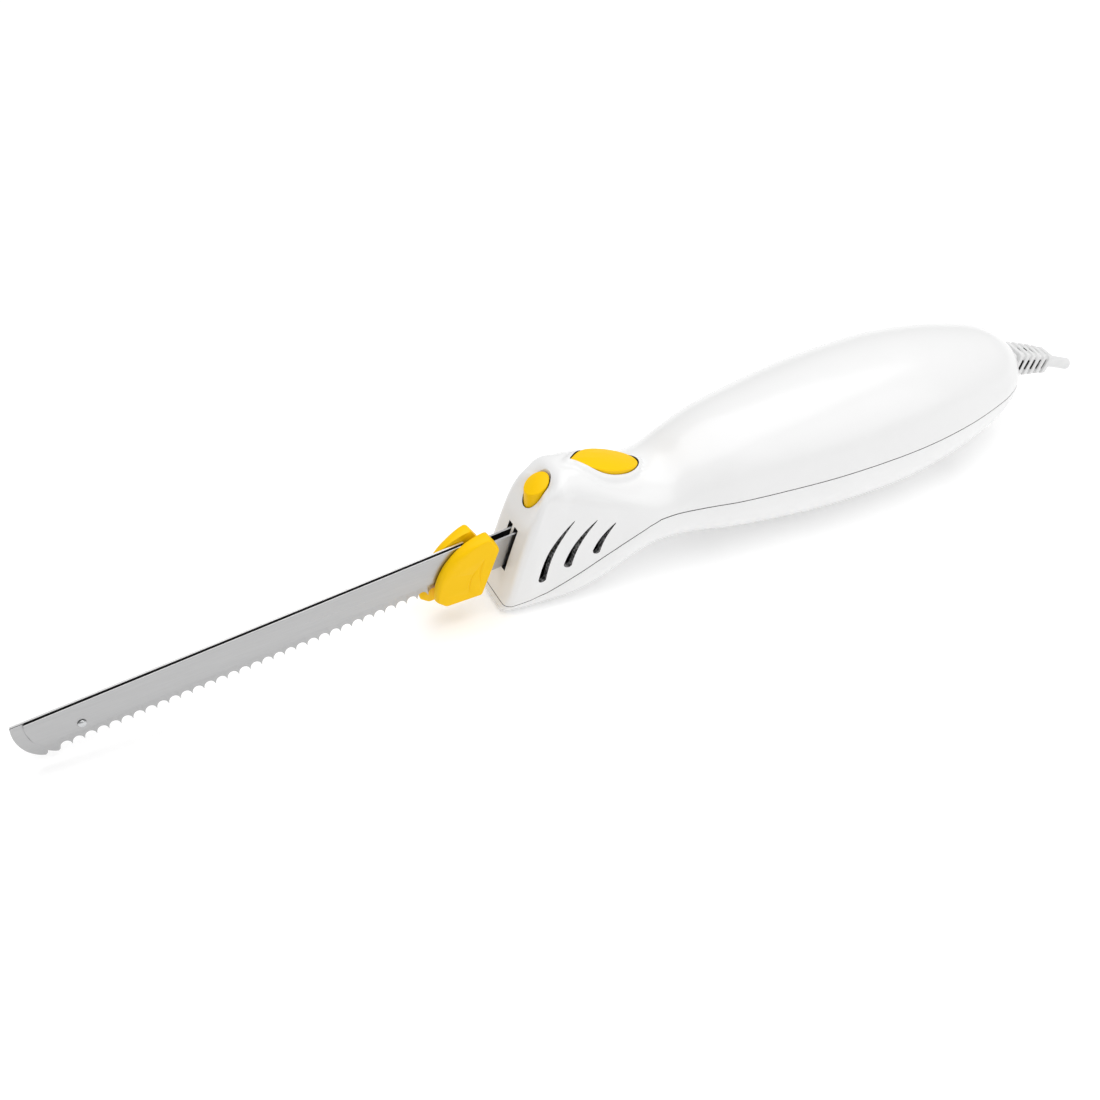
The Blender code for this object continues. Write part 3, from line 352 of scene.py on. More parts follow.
def brushed(name, colour, roughness, stretch, turn=(0.0, 0.0, 0.0), line=0.16, depth=0.004):
    """Ground or drawn metal: fine parallel scratches, with a few longer marks."""
    s = Shader(name, colour, roughness, 1.0)
    lines = s.noise(line, 5.0, stretch, turn)
    long_marks = s.noise(line * 9, 3.0, stretch, turn)
    s.set("Base Color", s.mix(s.remap(lines, 0.0, 1.0), scaled(colour, 0.93), colour))
    s.set("Roughness", s.remap(long_marks, roughness - 0.05, roughness + 0.05))
    s.bump(lines, 0.3, depth)
    return s.material


def wound(name, colour, direction, pitch):
    """Enamelled wire wound side by side."""
    s = Shader(name, colour, 0.3, 1.0)
    turns = s.bands(pitch, direction, distortion=0.6)
    s.set("Base Color", s.mix(turns, scaled(colour, 0.35), colour))
    s.bump(turns, 0.7, 0.12)
    return s.material


def stacked(name, colour):
    """Varnished sheets stacked along the shaft."""
    s = Shader(name, colour, 0.5, 0.7)
    sheets = s.bands(0.5, "X")
    s.set("Base Color", s.mix(sheets, scaled(colour, 0.5), colour))
    s.set("Roughness", s.remap(s.noise(2.0), 0.4, 0.62))
    s.bump(sheets, 0.5, 0.05)
    return s.material


def flexible(name, colour):
    """Soft vinyl with a faint matt skin."""
    s = Shader(name, colour, 0.52)
    s.set("Base Color", s.mix(s.remap(s.noise(7.0), 0.0, 1.0), scaled(colour, 0.94), colour))
    s.set("Roughness", s.remap(s.noise(1.2, 4.0), 0.46, 0.6))
    s.bump(s.noise(0.3, 2.0), 0.4, 0.012)
    return s.material


def make_materials():
    """Every material of the object, by the name used in this file."""
    along = (0.02, 1.0, 1.0)
    pitch = (0.0, PITCH, 0.0)
    white = (0.86, 0.86, 0.86)
    yellow = (1.0, 0.6, 0.0)
    return {
        "white": moulded("white_abs", white, 0.24, variation=0.01, depth=0.0),
        # Painted shade: the hollow's walls and the walls of cut openings, seams and boot windows
        # are near black, not the white of the shell.
        "inside": moulded("housing_inside_painted_shade", (0.02, 0.02, 0.022), 0.6, grain=0.8, depth=0.03),
        # Painted shade: the air slits' walls are near black with grey flecks.
        "vent": speckled("vent_wall_painted_shade", (0.03, 0.03, 0.03), (0.42, 0.42, 0.42)),
        "yellow": moulded("yellow_abs", yellow, 0.42, grain=0.3, depth=0.008, variation=0.03,
                          Specular_IOR_Level=0.15),
        "blade": brushed("ground_stainless", (0.47, 0.47, 0.473), 0.32, along, pitch, line=0.22,
                         depth=0.002),
        "steel": brushed("bright_steel", (0.6, 0.61, 0.62), 0.26, (1.0, 0.15, 1.0), line=0.3),
        # Painted highlight: near-white steel on the far blade's upward-facing back edge, lightening
        # it as if lit from above.
        "blade_back_highlight": brushed("painted_highlight_back", (0.9, 0.9, 0.9), 0.4, along, pitch, line=0.3),
        # Painted shade: near-black steel for the blades' inner faces near the back and the tang
        # groove's walls, darkening the gap between the blades.
        "blade_gap_shade": brushed("painted_gap_shade_steel", (0.035, 0.035, 0.037), 0.6, along, pitch, line=0.3),
        "plated": brushed("plated_steel", (0.4, 0.42, 0.44), 0.36, (0.3, 1.0, 0.3), line=0.5),
        "nylon": moulded("nylon", (0.8, 0.78, 0.7), 0.46, grain=0.5, depth=0.01,
                         Subsurface_Weight=0.1),
        "black": moulded("black_phenolic", (0.03, 0.03, 0.034), 0.42, grain=0.5, depth=0.01),
        "copper_x": wound("copper_winding_x", (0.75, 0.33, 0.15), "X", 0.45),
        "copper_z": wound("copper_winding_z", (0.75, 0.33, 0.15), "Z", 0.45),
        "bars": wound("commutator_bars", (0.78, 0.4, 0.2), "Z", 1.6),
        "sheets": stacked("laminations", (0.26, 0.27, 0.3)),
        "bronze": brushed("bronze", (0.7, 0.5, 0.24), 0.38, (1.0, 1.0, 0.2), line=0.4),
        "carbon": moulded("carbon", (0.045, 0.045, 0.05), 0.6, grain=0.2, depth=0.02,
                          variation=0.3),
        "grey": flexible("grey_vinyl", (0.8, 0.8, 0.8)),
        "brown": flexible("brown_vinyl", (0.25, 0.1, 0.04)),
        "blue": flexible("blue_vinyl", (0.05, 0.18, 0.55)),
        "film": moulded("film_capacitor", (0.55, 0.42, 0.12), 0.4, grain=0.9, depth=0.02),
    }


MATERIALS = make_materials()
INNER_LOOKS = {
    "steel": ("left_latch", "right_latch", "wheel_axle", "armature_shaft", "left_brush_spring",
              "right_brush_spring", "release_spring", "trigger_spring", "left_clamp_screw",
              "right_clamp_screw"),
    "plated": ("left_frame_plate", "right_frame_plate", "frame_spacer", "release_fork"),
    "nylon": ("left_carrier", "right_carrier", "worm_wheel", "switch_plunger"),
    "black": ("button_guide", "switch_body", "cooling_fan", "front_bearing_plate",
              "rear_bearing_plate", "cord_clamp"),
    "copper_x": ("front_winding", "rear_winding"),
    "copper_z": ("upper_field_coil", "lower_field_coil"),
    "bars": ("commutator",),
    "sheets": ("armature_core", "stator_core"),
    "bronze": ("front_bush", "rear_bush", "left_brush_holder", "right_brush_holder"),
    "carbon": ("left_brush", "right_brush"),
    "brown": ("live_wire", "switch_wire"),
    "blue": ("neutral_wire",),
    "film": ("suppressor",),
}


def finish_inner_nodes():
    """Gives the frame nodes that stay their materials."""
    for look, names in INNER_LOOKS.items():
        for name in names:
            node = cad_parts[name]
            node.data.materials.clear()
            node.data.materials.append(MATERIALS[look])


# ------------------------------------------------------------------ housing
def trigger_axes():
    """Middle of the trigger's seat, the directions along it and out of it, half its length."""
    front, rear = Vector(TRIGGER_FRONT), Vector(TRIGGER_REAR)
    along = (rear - front).normalized()
    return (front + rear) / 2, along, Vector((-along.y, along.x)), (rear - front).length / 2


def trigger_point(p, q, h):
    """p along the trigger from its middle, q across, h above its seat."""
    middle, along, up, _ = trigger_axes()
    xz = middle + along * p + up * h
    return (xz.x, q, xz.y)


def lens_width(c):
    """Half width of the drop-shaped trigger where the cosine of its parameter is c."""
    return TRIGGER_HALF_WIDTH * (1 - 0.75 * np.maximum(0.0, -c) ** 3)


def lens_outline(grow, count=96):
    """The trigger's outline, along and across, made larger by grow."""
    half = trigger_axes()[3]
    points = []
    for k in range(count):
        angle = 2 * math.pi * k / count
        length = half * math.cos(angle)
        width = float(lens_width(math.cos(angle))) * math.sin(angle)
        points.append((length * (1 + grow / half), width * (1 + grow / TRIGGER_HALF_WIDTH)))
    return points


def sculpt(points):
    """Shapes the plain form: thumb hollow round the button, trigger collar, side panels."""
    x, y, z = points[:, 0].copy(), points[:, 1].copy(), points[:, 2].copy()
    # hollow between the cheeks of the sloping front
    across = 1 - smooth((np.abs(y) - 2) / 12)
    height = smooth((z - 42) / 15) * (1 - smooth((z - 57) / 6.5))
    x_new = x + 5.0 * across * height * (1 - smooth((x + 27) / 16))
    # collar: distance outside the trigger outline, in the plane of its seat
    middle, along, up, half = trigger_axes()
    dx, dz = x - middle.x, z - middle.y
    p, h = dx * along.x + dz * along.y, dx * up.x + dz * up.y
    c = np.clip(p / half, -1.3, 1.3)
    edge = lens_width(c) * np.sqrt(np.maximum(0.0, 1 - (p / (half + 0.4)) ** 2))
    ends = np.maximum(0.0, np.abs(p) - half)
    outside = np.hypot(np.maximum(0.0, np.abs(y) - edge), ends)
    above = smooth((h + 7) / 4)
    lip = 1 - smooth((outside - 1.7) / 1.1)
    valley = np.exp(-((outside - 3.4) / 1.1) ** 2)
    lift = (1.05 * lip - 0.4 * valley) * above
    # side panels with the air slits, pressed in a little
    side = smooth((np.abs(y) - 9) / 4)
    top_edge = 1 - smooth((z - (55.0 - 0.42 * (x + 24))) / 4.5)
    low_edge = smooth((z - (16.5 + 0.52 * (x + 12))) / 7)
    front_edge = smooth((x - (-36 + 0.12 * (z - 20))) / 7)
    rear_edge = 1 - smooth((x - 2) / 16)
    pressed = 1.1 * side * top_edge * low_edge * front_edge * rear_edge
    return np.stack([x_new + up.x * lift, y - np.sign(y) * pressed, z + up.y * lift], axis=1)


def lean_offset(s, z):
    """The front face leans back; the lean dies out towards the grip."""
    amount = 1.0 - smooth((s - FRONT_S) / (16.0 - FRONT_S))
    return amount * (0.235 * z + 0.0016 * z * z)


def housing_ring(s, inset, segments, share=1.0):
    """Ring at station s, moved inwards by inset and shrunk to a share of its size."""
    a, top, bottom = spline(STATIONS, s)
    a, top, bottom = a - inset, top - inset, bottom + inset
    head = 1.0 - smooth((s + 20.0) / 42.0)
    brow = 1.0 - smooth((s + 47.0) / 16.0)
    angle = np.arange(segments) * 2 * math.pi / segments
    c, q = np.cos(angle), np.sin(angle)
    low_power = 2.05 + 1.55 * head
    high_power = 2.05 + 0.75 * head + 3.0 * brow
    power = lerp(low_power, high_power, smooth((q + 0.25) / 0.5))
    across = np.sign(c) * np.abs(c) ** (2 / power)
    upwards = np.sign(q) * np.abs(q) ** (2 / power)
    middle, height = (top + bottom) / 2, (top - bottom) / 2
    z = np.maximum(middle + height * upwards, inset)
    y = a * across * (1 - 0.05 * head * upwards) * share
    z = middle + (z - middle) * share
    return np.stack([s + lean_offset(s, z), y, z], axis=1)


def housing_form(name, inset, segments, step, material):
    """The housing's outer form, or the same moved inwards by inset."""
    start, end = FRONT_S + inset, TAIL_X - inset
    fine = inset == 0
    caps = [k / 24 for k in range(1, 24)] if fine else [0.3, 0.6, 0.8]
    rings = [housing_ring(start, inset + FRONT_RADIUS, segments, share) for share in caps]
    steps = 10 if fine else 3
    for k in range(steps):
        angle = math.pi / 2 * k / steps
        shrink = FRONT_RADIUS * (1 - math.sin(angle))
        station = start + FRONT_RADIUS * (1 - math.cos(angle))
        rings.append(housing_ring(station, inset + shrink, segments))
    start, last = start + FRONT_RADIUS, end - 0.6 - inset * 0.8
    count = int((last - start) / step)
    for k in range(count + 1):
        rings.append(housing_ring(lerp(start, last, 1 - (1 - k / count) ** 1.35), inset, segments))
    rings += [housing_ring(last, inset, segments, share) for share in (0.85, 0.5, 0.2)]
    return add_mesh(name, *loft([sculpt(ring) for ring in rings]), material, 40)


def dark_faces(cutter, rear_limit=1000.0):
    """Gives the walls that a cutter leaves the near-black inside material, painted shade, in front
    of the rear limit.
    """
    for face in cutter.data.polygons:
        if face.center.x / MM < rear_limit or face.center.y / MM < -1.0:
            face.material_index = 1
    return cutter


def seam_block(name, upper, material):
    """Everything on one side of the parting line."""
    gap = SEAM_GAP / 2 if upper else -SEAM_GAP / 2
    line = [(x, z + gap) for x, z in SEAM]
    limit = 120.0 if upper else -60.0
    outline = line + [(SEAM[-1][0], limit), (SEAM[0][0], limit)]
    # The faces along the parting line take the near-black inside material: painted shade in the
    # seam.
    return dark_faces(add_mesh(name, *prism(outline, -80, 80), material))


def vent_outline(x0, z0, x1, z1, bulge, half_width):
    """Curved slit, pointed at its top and round at its bottom."""
    along = Vector((x1 - x0, z1 - z0)).normalized()
    across = Vector((-along.y, along.x))
    left, right = [], []
    for k in range(25):
        t = k / 24
        centre = Vector((lerp(x0, x1, t), lerp(z0, z1, t))) + across * (-bulge * 4 * t * (1 - t))
        width = 0.12 + (half_width - 0.12) * t ** 0.8
        left.append(centre + across * width)
        right.append(centre - across * width)
    cap = []
    for k in range(1, 12):
        angle = math.pi * k / 12
        outward = across * math.cos(angle) + along * math.sin(angle)
        cap.append(Vector((x1, z1)) + outward * half_width)
    return left + cap + right[::-1]


def housing_void(upper):
    """The hollow inside, less the screw bosses and the ribs that seat the motor; its walls carry
    near-black painted shade.
    """
    dark = MATERIALS["inside"]
    void = housing_form("void", WALL, 72, 3.5, dark)
    low, length = (SEAM_Z, 14) if upper else (-5, SEAM_Z + 5)
    for x, y in SCREWS:
        boss = lathe([(0, BOSS_R), (length, BOSS_R)], (x, y, low), (0, 0, 1), 32)
        cut(void, add_mesh("boss", *boss, dark))
    for x, radius in SEATS:
        inner = radius + 0.3
        if upper:
            rib = block(x, x + SEAT_WIDTH, -5, 5, SHAFT_Z + inner, SHAFT_Z + 45)
            cut(void, add_mesh("seat", *rib, dark))
            continue
        disc = lathe([(0, 45), (SEAT_WIDTH, 45)], (x, 0, SHAFT_Z), (1, 0, 0), 64)
        disc = add_mesh("seat", *disc, dark)
        bore = lathe([(-1, inner), (4, inner)], (x, 0, SHAFT_Z), (1, 0, 0), 64)
        cut(disc, add_mesh("bore", *bore, dark))
        cut(void, disc)
    return dark_faces(void)


def cut_upper_openings(shell):
    """Blade slots, air slits, and the holes for the button and the trigger."""
    white = MATERIALS["white"]
    # The walls of the blade slots, of the trigger hole and of the button hole's front and near side
    # take the near-black inside material: painted shade.
    for side in (-1, 1):
        slot = [(168, -0.8), (200, -0.8), (200, 18.4), (168, 18.4)]
        slot = blade_prism(slot, side * 0.8, side * 3.8)
        cut(shell, dark_faces(add_mesh("slot", *slot, white)))
        for vent in VENTS:
            slit = add_mesh("vent", *prism(vent_outline(*vent), side * 9.5, side * 40), white)
            # The slits' walls take the vent material's painted shade.
            for face in slit.data.polygons:
                face.material_index = 2
            cut(shell, slit)
    radius = BUTTON_R + BUTTON_GAP
    hole = lathe([(0, radius), (36, radius)], (BUTTON_X, 0, 43), (0, 0, 1), 96)
    cut(shell, dark_faces(add_mesh("hole", *hole, white), BUTTON_X + 2))
    rings = [[trigger_point(p, q, h) for p, q in lens_outline(0.45)] for h in (-9, 9)]
    cut(shell, dark_faces(add_mesh("hole", *loft(rings), white)))


def cut_screw_holes(shell, upper):
    """Counterbored holes in the lower shell, pilot holes in the upper one."""
    profile = [(-10, 3.7), (SCREW_HEAD_Z + 10, 3.7), (SCREW_HEAD_Z + 10, 1.8), (60, 1.8)]
    if upper:
        profile = [(SEAM_Z - 1, 1.8), (SEAM_Z + 12.5, 1.8)]
    for x, y in SCREWS:
        cut(shell, add_mesh("hole", *lathe(profile, (x, y, 0), (0, 0, 1), 40), MATERIALS["white"]))


def build_shell(name, upper):
    """One half of the housing."""
    segments, step = ((224, 1.3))
    shell = housing_form(name, 0.0, segments, step, MATERIALS["white"])
    # Slot 1 is the near-black painted shade for the inside and cut walls; slot 2 is the vents'
    # painted shade.
    shell.data.materials.append(MATERIALS["inside"])
    shell.data.materials.append(MATERIALS["vent"])
    cut(shell, housing_void(upper))
    cut(shell, seam_block("half", upper, MATERIALS["white"]), "INTERSECT")
    cut_screw_holes(shell, upper)
    cut(shell, add_mesh("opening", *block(*CORD_OPENING), MATERIALS["white"]))
    if upper:
        cut_upper_openings(shell)
    shell.data.set_sharp_from_angle(angle=math.radians(32))
    return place(shell, "housing", "housing", name)


# ------------------------------------------------------------------ blades and guards
def tooth_height(u, first):
    """Height of the cutting edge above the tooth line."""
    phase = ((u - first) / TOOTH_PITCH) % 1.0
    across = abs(2 * phase - 1) / 0.95
    return TOOTH_DEPTH * math.sqrt(max(0.0, 1 - across * across)) if across < 1 else 0.0


def blade_columns():
    """(u, low v, high v) of the blade's upright sections from the nose to its rear end."""
    columns = []
    first = NOSE_CENTRE[0] - 2.94
    low_angle = math.asin((BLADE_HEIGHT - NOSE_CENTRE[1]) / NOSE_RADII[1])
    for k in range(1, 30):
        angle = math.pi / 2 * k / 29
        u = NOSE_CENTRE[0] - NOSE_RADII[0] * math.cos(angle)
        if u > first - 0.4:
            break
        reach = NOSE_RADII[1] * math.sin(angle)
        high = NOSE_CENTRE[1] + (reach if angle < low_angle else BLADE_HEIGHT - NOSE_CENTRE[1])
        columns.append((u, NOSE_CENTRE[1] - reach, high))
    per_tooth = 14
    for n in range(TOOTH_COUNT * per_tooth + 1):
        phase = (n % per_tooth) / per_tooth
        eased = 0.5 - 0.5 * math.cos(math.pi * phase)
        u = first + (n // per_tooth + eased) * TOOTH_PITCH
        columns.append((u, tooth_height(u, first), BLADE_HEIGHT))
    columns.append((first + TOOTH_COUNT * TOOTH_PITCH + 0.2, 0.0, BLADE_HEIGHT))
    columns.append((BLADE_END, 0.0, BLADE_HEIGHT))
    return columns


def blade_ring(side, u, low, high):
    """Section of a blade: flat inner face, ground outer face, softened back."""
    y_in, y_out = BLADE_GAP, BLADE_GAP + BLADE_THICK
    relief = 0.75 if side < 0 else 0.15
    bevel = min(max(BEVEL_HEIGHT, low + 3.5), high - 0.6)
    share = min(1.0, (bevel - low) / 3.5)
    edge = y_in + EDGE_THICK
    face = lerp(edge, y_out, share)
    points = [
        (low, y_in), (low, edge), (lerp(low, bevel, 0.5), lerp(edge, y_out, 0.5 * share)),
        (bevel, face), (bevel + 0.15, face), (high - 0.25, face), (high - 0.06, y_out - 0.07),
        (high, y_out - 0.2),
        (high, y_in + relief), (high - relief, y_in),
    ]
    ring = []
    for v, y in points:
        x, z = blade_xz(u, v)
        ring.append((x, side * y, z))
    return ring


def build_blade(name, side, shift):
    """Blade with its tang, latch hole and rivet hole, or a slot for the other blade's rivet."""
    steel = MATERIALS["blade"]
    rings = [blade_ring(side, u + shift, low, high) for u, low, high in blade_columns()]
    blade = add_mesh(name, *loft(rings), steel, 24)
    blade.data.materials.append(MATERIALS["blade_gap_shade"])
    blade.data.materials.append(MATERIALS["blade_back_highlight"])
    # Painted shade: inner faces above the back line take the near-black steel, darkening the gap
    # between the blades. Painted highlight: on the far blade, upward faces there take the
    # near-white steel.
    x0, z0 = blade_xz(0, BLADE_HEIGHT - 0.55)
    for face in blade.data.polygons:
        above = face.center.z / MM - z0 - math.tan(PITCH) * (face.center.x / MM - x0)
        if above > 0 and face.normal.y * side < -0.3:
            face.material_index = 1
        elif side > 0 and above > 0 and face.normal.z > 0.8:
            face.material_index = 2
    tang = [(TANG_SPAN[0], TANG_V[0]), (TANG_SPAN[1] - 3, TANG_V[0]), (TANG_SPAN[1], TANG_V[0] + 4),
            (TANG_SPAN[1], TANG_V[1] - 4), (TANG_SPAN[1] - 3, TANG_V[1]), (TANG_SPAN[0], TANG_V[1])]
    tang = [(u + shift, v) for u, v in tang]
    tang = blade_prism(tang, side * (BLADE_GAP + BLADE_THICK - 0.1), side * TANG_Y)
    cut(blade, add_mesh("tang", *tang, steel), "UNION")
    groove = [(170 + shift, -2), (192 + shift, -2), (192 + shift, 22), (170 + shift, 22)]
    groove = blade_prism(groove, -side * 0.5, side * (TANG_Y - 0.9))
    # The groove's walls take the near-black steel: painted shade.
    cut(blade, dark_faces(add_mesh("groove", *groove, steel)))
    x, z = blade_xz(LATCH[0] + shift, LATCH[1])
    hole = lathe([(0, 1.8), (8, 1.8)], (x, -side * 2, z), (0, side, 0), 32)
    cut(blade, add_mesh("hole", *hole, steel))
    u, v = RIVET
    if side < 0:
        x, z = blade_xz(u + shift, v)
        hole = lathe([(0, 1.3), (4, 1.3)], (x, -4, z), (0, 1, 0), 40)
        cut(blade, add_mesh("hole", *hole, steel))
    else:
        low, high = u - shift - 4 * CRANK, u - shift
        slot = []
        for centre, start in ((high, -90), (low, 90)):
            for k in range(17):
                angle = math.radians(start + 180 * k / 16)
                slot.append((centre + 1.3 * math.cos(angle), v + 1.3 * math.sin(angle)))
        cut(blade, add_mesh("slot", *blade_prism(slot, 0.0, 4.0), steel))
    blade.data.set_sharp_from_angle(angle=math.radians(24))
    return place(blade, "left_drive" if side < 0 else "right_drive", "blades", name)


def build_rivet():
    """Domed pin near the blade tips."""
    x, z = blade_xz(RIVET[0] + CRANK, RIVET[1])
    head = BLADE_GAP + BLADE_THICK + 0.3
    profile = []
    for k in range(9):
        angle = math.pi / 2 * k / 8
        profile.append((-head - 0.85 * math.cos(angle), 0.15 + 1.6 * math.sin(angle)))
    profile += [(-head, 1.0), (head, 1.0), (head, 1.6), (head + 0.5, 1.55), (head + 0.75, 1.1)]
    rivet = add_mesh("rivet", *lathe(profile, (x, 0, z), (0, 1, 0), 40), MATERIALS["steel"])
    return place(rivet, "left_drive", "bright_steel", "blade_rivet")


def rounded(points, radius, steps=6):
    """Outline with its corners rounded by short arcs."""
    out = []
    count = len(points)
    for i in range(count):
        before, corner, after = (Vector(points[(i + k) % count]) for k in (-1, 0, 1))
        a, b = before - corner, after - corner
        reach = min(radius, a.length * 0.45, b.length * 0.45)
        start, end = corner + a.normalized() * reach, corner + b.normalized() * reach
        for k in range(steps + 1):
            t = k / steps
            out.append(start * (1 - t) ** 2 + corner * 2 * t * (1 - t) + end * t * t)
    return out


def guard_outline():
    """The guard's side view in the blade frame: an arc in front, a corner above, a flat foot."""
    points = []
    for k in range(15):
        angle = math.radians(lerp(180, 91, k / 14))
        points.append((174.8 + 26.4 * math.cos(angle), -3.0 + 26.4 * math.sin(angle)))
    points += [(177.9, 15.9), (167.8, -6.6), (152.0, -6.6)]
    return rounded(points, 0.9)


def pulled_in(points, distances):
    """Moves each point of a convex outline towards its middle by its own distance."""
    middle = sum(points, Vector((0, 0))) / len(points)
    return [p + (middle - p).normalized() * d for p, d in zip(points, distances)]


def build_guard(name, side, shift):
    """Finger guard: a fin with a rolled rim, a wide front chamfer and two grip grooves."""
    outline = guard_outline()
    front = min(p.x for p in outline)
    yellow = MATERIALS["yellow"]
    levels = (                # pulled in, height, whether the height counts from the blade
        (0.35, 1.55, True), (0.0, 1.9, True), (0.0, -2.6, False), (0.25, -1.7, False),
        (0.7, -1.05, False), (1.35, -0.5, False), (2.1, -0.15, False), (3.0, 0.0, False),
        (5.0, 0.05, False),
    )
    rings = []
    for inset, height, absolute in levels:
        widths = []
        for p in outline:
            leading = smooth((174.0 - p.x) / 10) * smooth((p.y + 5) / 6)
            widths.append(inset * (1.0 if absolute else lerp(0.3, 1.0, float(leading))))
        ring = []
        for p, q in zip(outline, pulled_in(outline, widths)):
            thickness = 4.7 + 0.09 * (q.x - front)
            y = height if absolute else thickness + height
            x, z = blade_xz(q.x + shift, q.y)
            ring.append((x, side * y, z))
        rings.append(ring)
    guard = add_mesh(name, *loft(rings), yellow, 50)
    x0, x1 = TANG_SPAN[0] - 1.5 + shift, 190 + shift
    pocket = [(x0, TANG_V[0] - 1), (x1, TANG_V[0] - 1), (x1, TANG_V[1] + 1), (x0, TANG_V[1] + 1)]
    cut(guard, add_mesh("pocket", *blade_prism(pocket, 0.0, side * (TANG_Y + 0.3)), yellow))
    for start, end, bow in (((162.2, -3.2), (167.0, 9.4), 1.5), ((167.4, 0.4), (171.0, 14.2), 1.3)):
        path = []
        for k in range(25):
            t = k / 24
            u = lerp(start[0], end[0], t) - bow * 3.2 * t * (1 - t)
            v = lerp(start[1], end[1], t) + bow * 1.8 * t * (1 - t)
            x, z = blade_xz(u + shift, v)
            depth = 0.32 * (1 - abs(2 * t - 1) ** 3) - 0.03
            path.append((x, side * (4.75 + 0.09 * (u - front) + 0.55 - depth), z))
        cut(guard, add_mesh("groove", *tube(path, 0.55, 16), yellow))
    guard.data.set_sharp_from_angle(angle=math.radians(50))
    return place(guard, "left_drive" if side < 0 else "right_drive", "guards", name)


# ------------------------------------------------------------------ controls
def build_button():
    """Push button whose crown slopes with the front; a skirt hides its spring."""
    base, skirt = 41.6, BUTTON_TOP - 1.5 - 41.6
    profile = [(0, 3.0), (6.9, 3.0), (6.9, BUTTON_R - 0.9), (4.7, BUTTON_R - 0.9), (4.7, BUTTON_R),
               (skirt, BUTTON_R)]
    for k in range(1, 9):
        angle = math.pi / 2 * k / 8
        profile.append((skirt + 0.55 * math.sin(angle), BUTTON_R - 0.55 + 0.55 * math.cos(angle)))
    for k in range(1, 12):
        share = 1 - k / 12
        profile.append((skirt + 0.55 + 0.95 * (1 - share * share), (BUTTON_R - 0.55) * share))
    vertices, faces = lathe(profile, (BUTTON_X, 0, base), (0, 0, 1), 72)
    vertices = [(x, y, z + (0.55 * (x - BUTTON_X) if z > 52 else 0.0)) for x, y, z in vertices]
    button = add_mesh("button", vertices, faces, MATERIALS["yellow"])
    return place(button, "release", "controls", "release_button")


def build_trigger():
    """Drop-shaped rocker, crowned across and along, with a rounded rim."""
    rings = [[trigger_point(p, q, h) for p, q in lens_outline(0.0)] for h in (-6.0, 0.2)]
    for k in range(1, 6):
        angle = math.pi / 2 * k / 5
        outline = lens_outline(-0.4 * (1 - math.cos(angle)))
        rings.append([trigger_point(p, q, 0.2 + 0.35 * math.sin(angle)) for p, q in outline])
    for k in range(1, 15):
        share = 1 - k / 15
        rings.append([trigger_point(p * share, q * share, 0.55 + 0.75 * (1 - share * share))
                      for p, q in lens_outline(-0.4)])
    trigger = add_mesh("trigger_key", *loft(rings), MATERIALS["yellow"], 50)
    return place(trigger, "trigger_lever", "controls", "trigger")


# ------------------------------------------------------------------ cord and screws
def cord_point(t):
    """Point and direction on the cord's centre line, t from 0 to 1."""
    rows = [(k, x, z) for k, (x, z) in enumerate(CORD_PATH)]
    s = t * (len(rows) - 1)
    x, z = spline(rows, s)
    xa, za = spline(rows, max(0.0, s - 0.05))
    xb, zb = spline(rows, min(len(rows) - 1.0, s + 0.05))
    return Vector((x, 0, z)), Vector((xb - xa, 0, zb - za)).normalized()


def t_at(x):
    """Where on the cord's path x is reached."""
    low, high = 0.0, 1.0
    for _ in range(40):
        middle = (low + high) / 2
        low, high = (middle, high) if cord_point(middle)[0].x < x else (low, middle)
    return low


def square_ring(t, half, corner=1.6, steps=6):
    """Rounded-square ring around the cord at t."""
    centre, direction = cord_point(t)
    up = Vector((-direction.z, 0, direction.x))
    ring = []
    for quarter in range(4):
        middle = math.pi / 4 + math.pi / 2 * quarter
        corner_y = math.copysign(half - corner, math.cos(middle))
        corner_z = math.copysign(half - corner, math.sin(middle))
        for k in range(steps + 1):
            angle = math.pi / 2 * quarter + math.pi / 2 * k / steps
            y, z = corner_y + corner * math.cos(angle), corner_z + corner * math.sin(angle)
            ring.append(centre + Vector((0, 1, 0)) * y + up * z)
    return ring


RIB_PROFILE = (               # share of one rib's pitch, how far below the rib's size
    (0.02, 0.35), (0.06, 0.05), (0.1, 0.0), (0.44, 0.0), (0.5, 0.08), (0.54, 0.4), (0.56, 1.4),
    (0.62, 1.5), (0.94, 1.5), (0.99, 1.35),
)


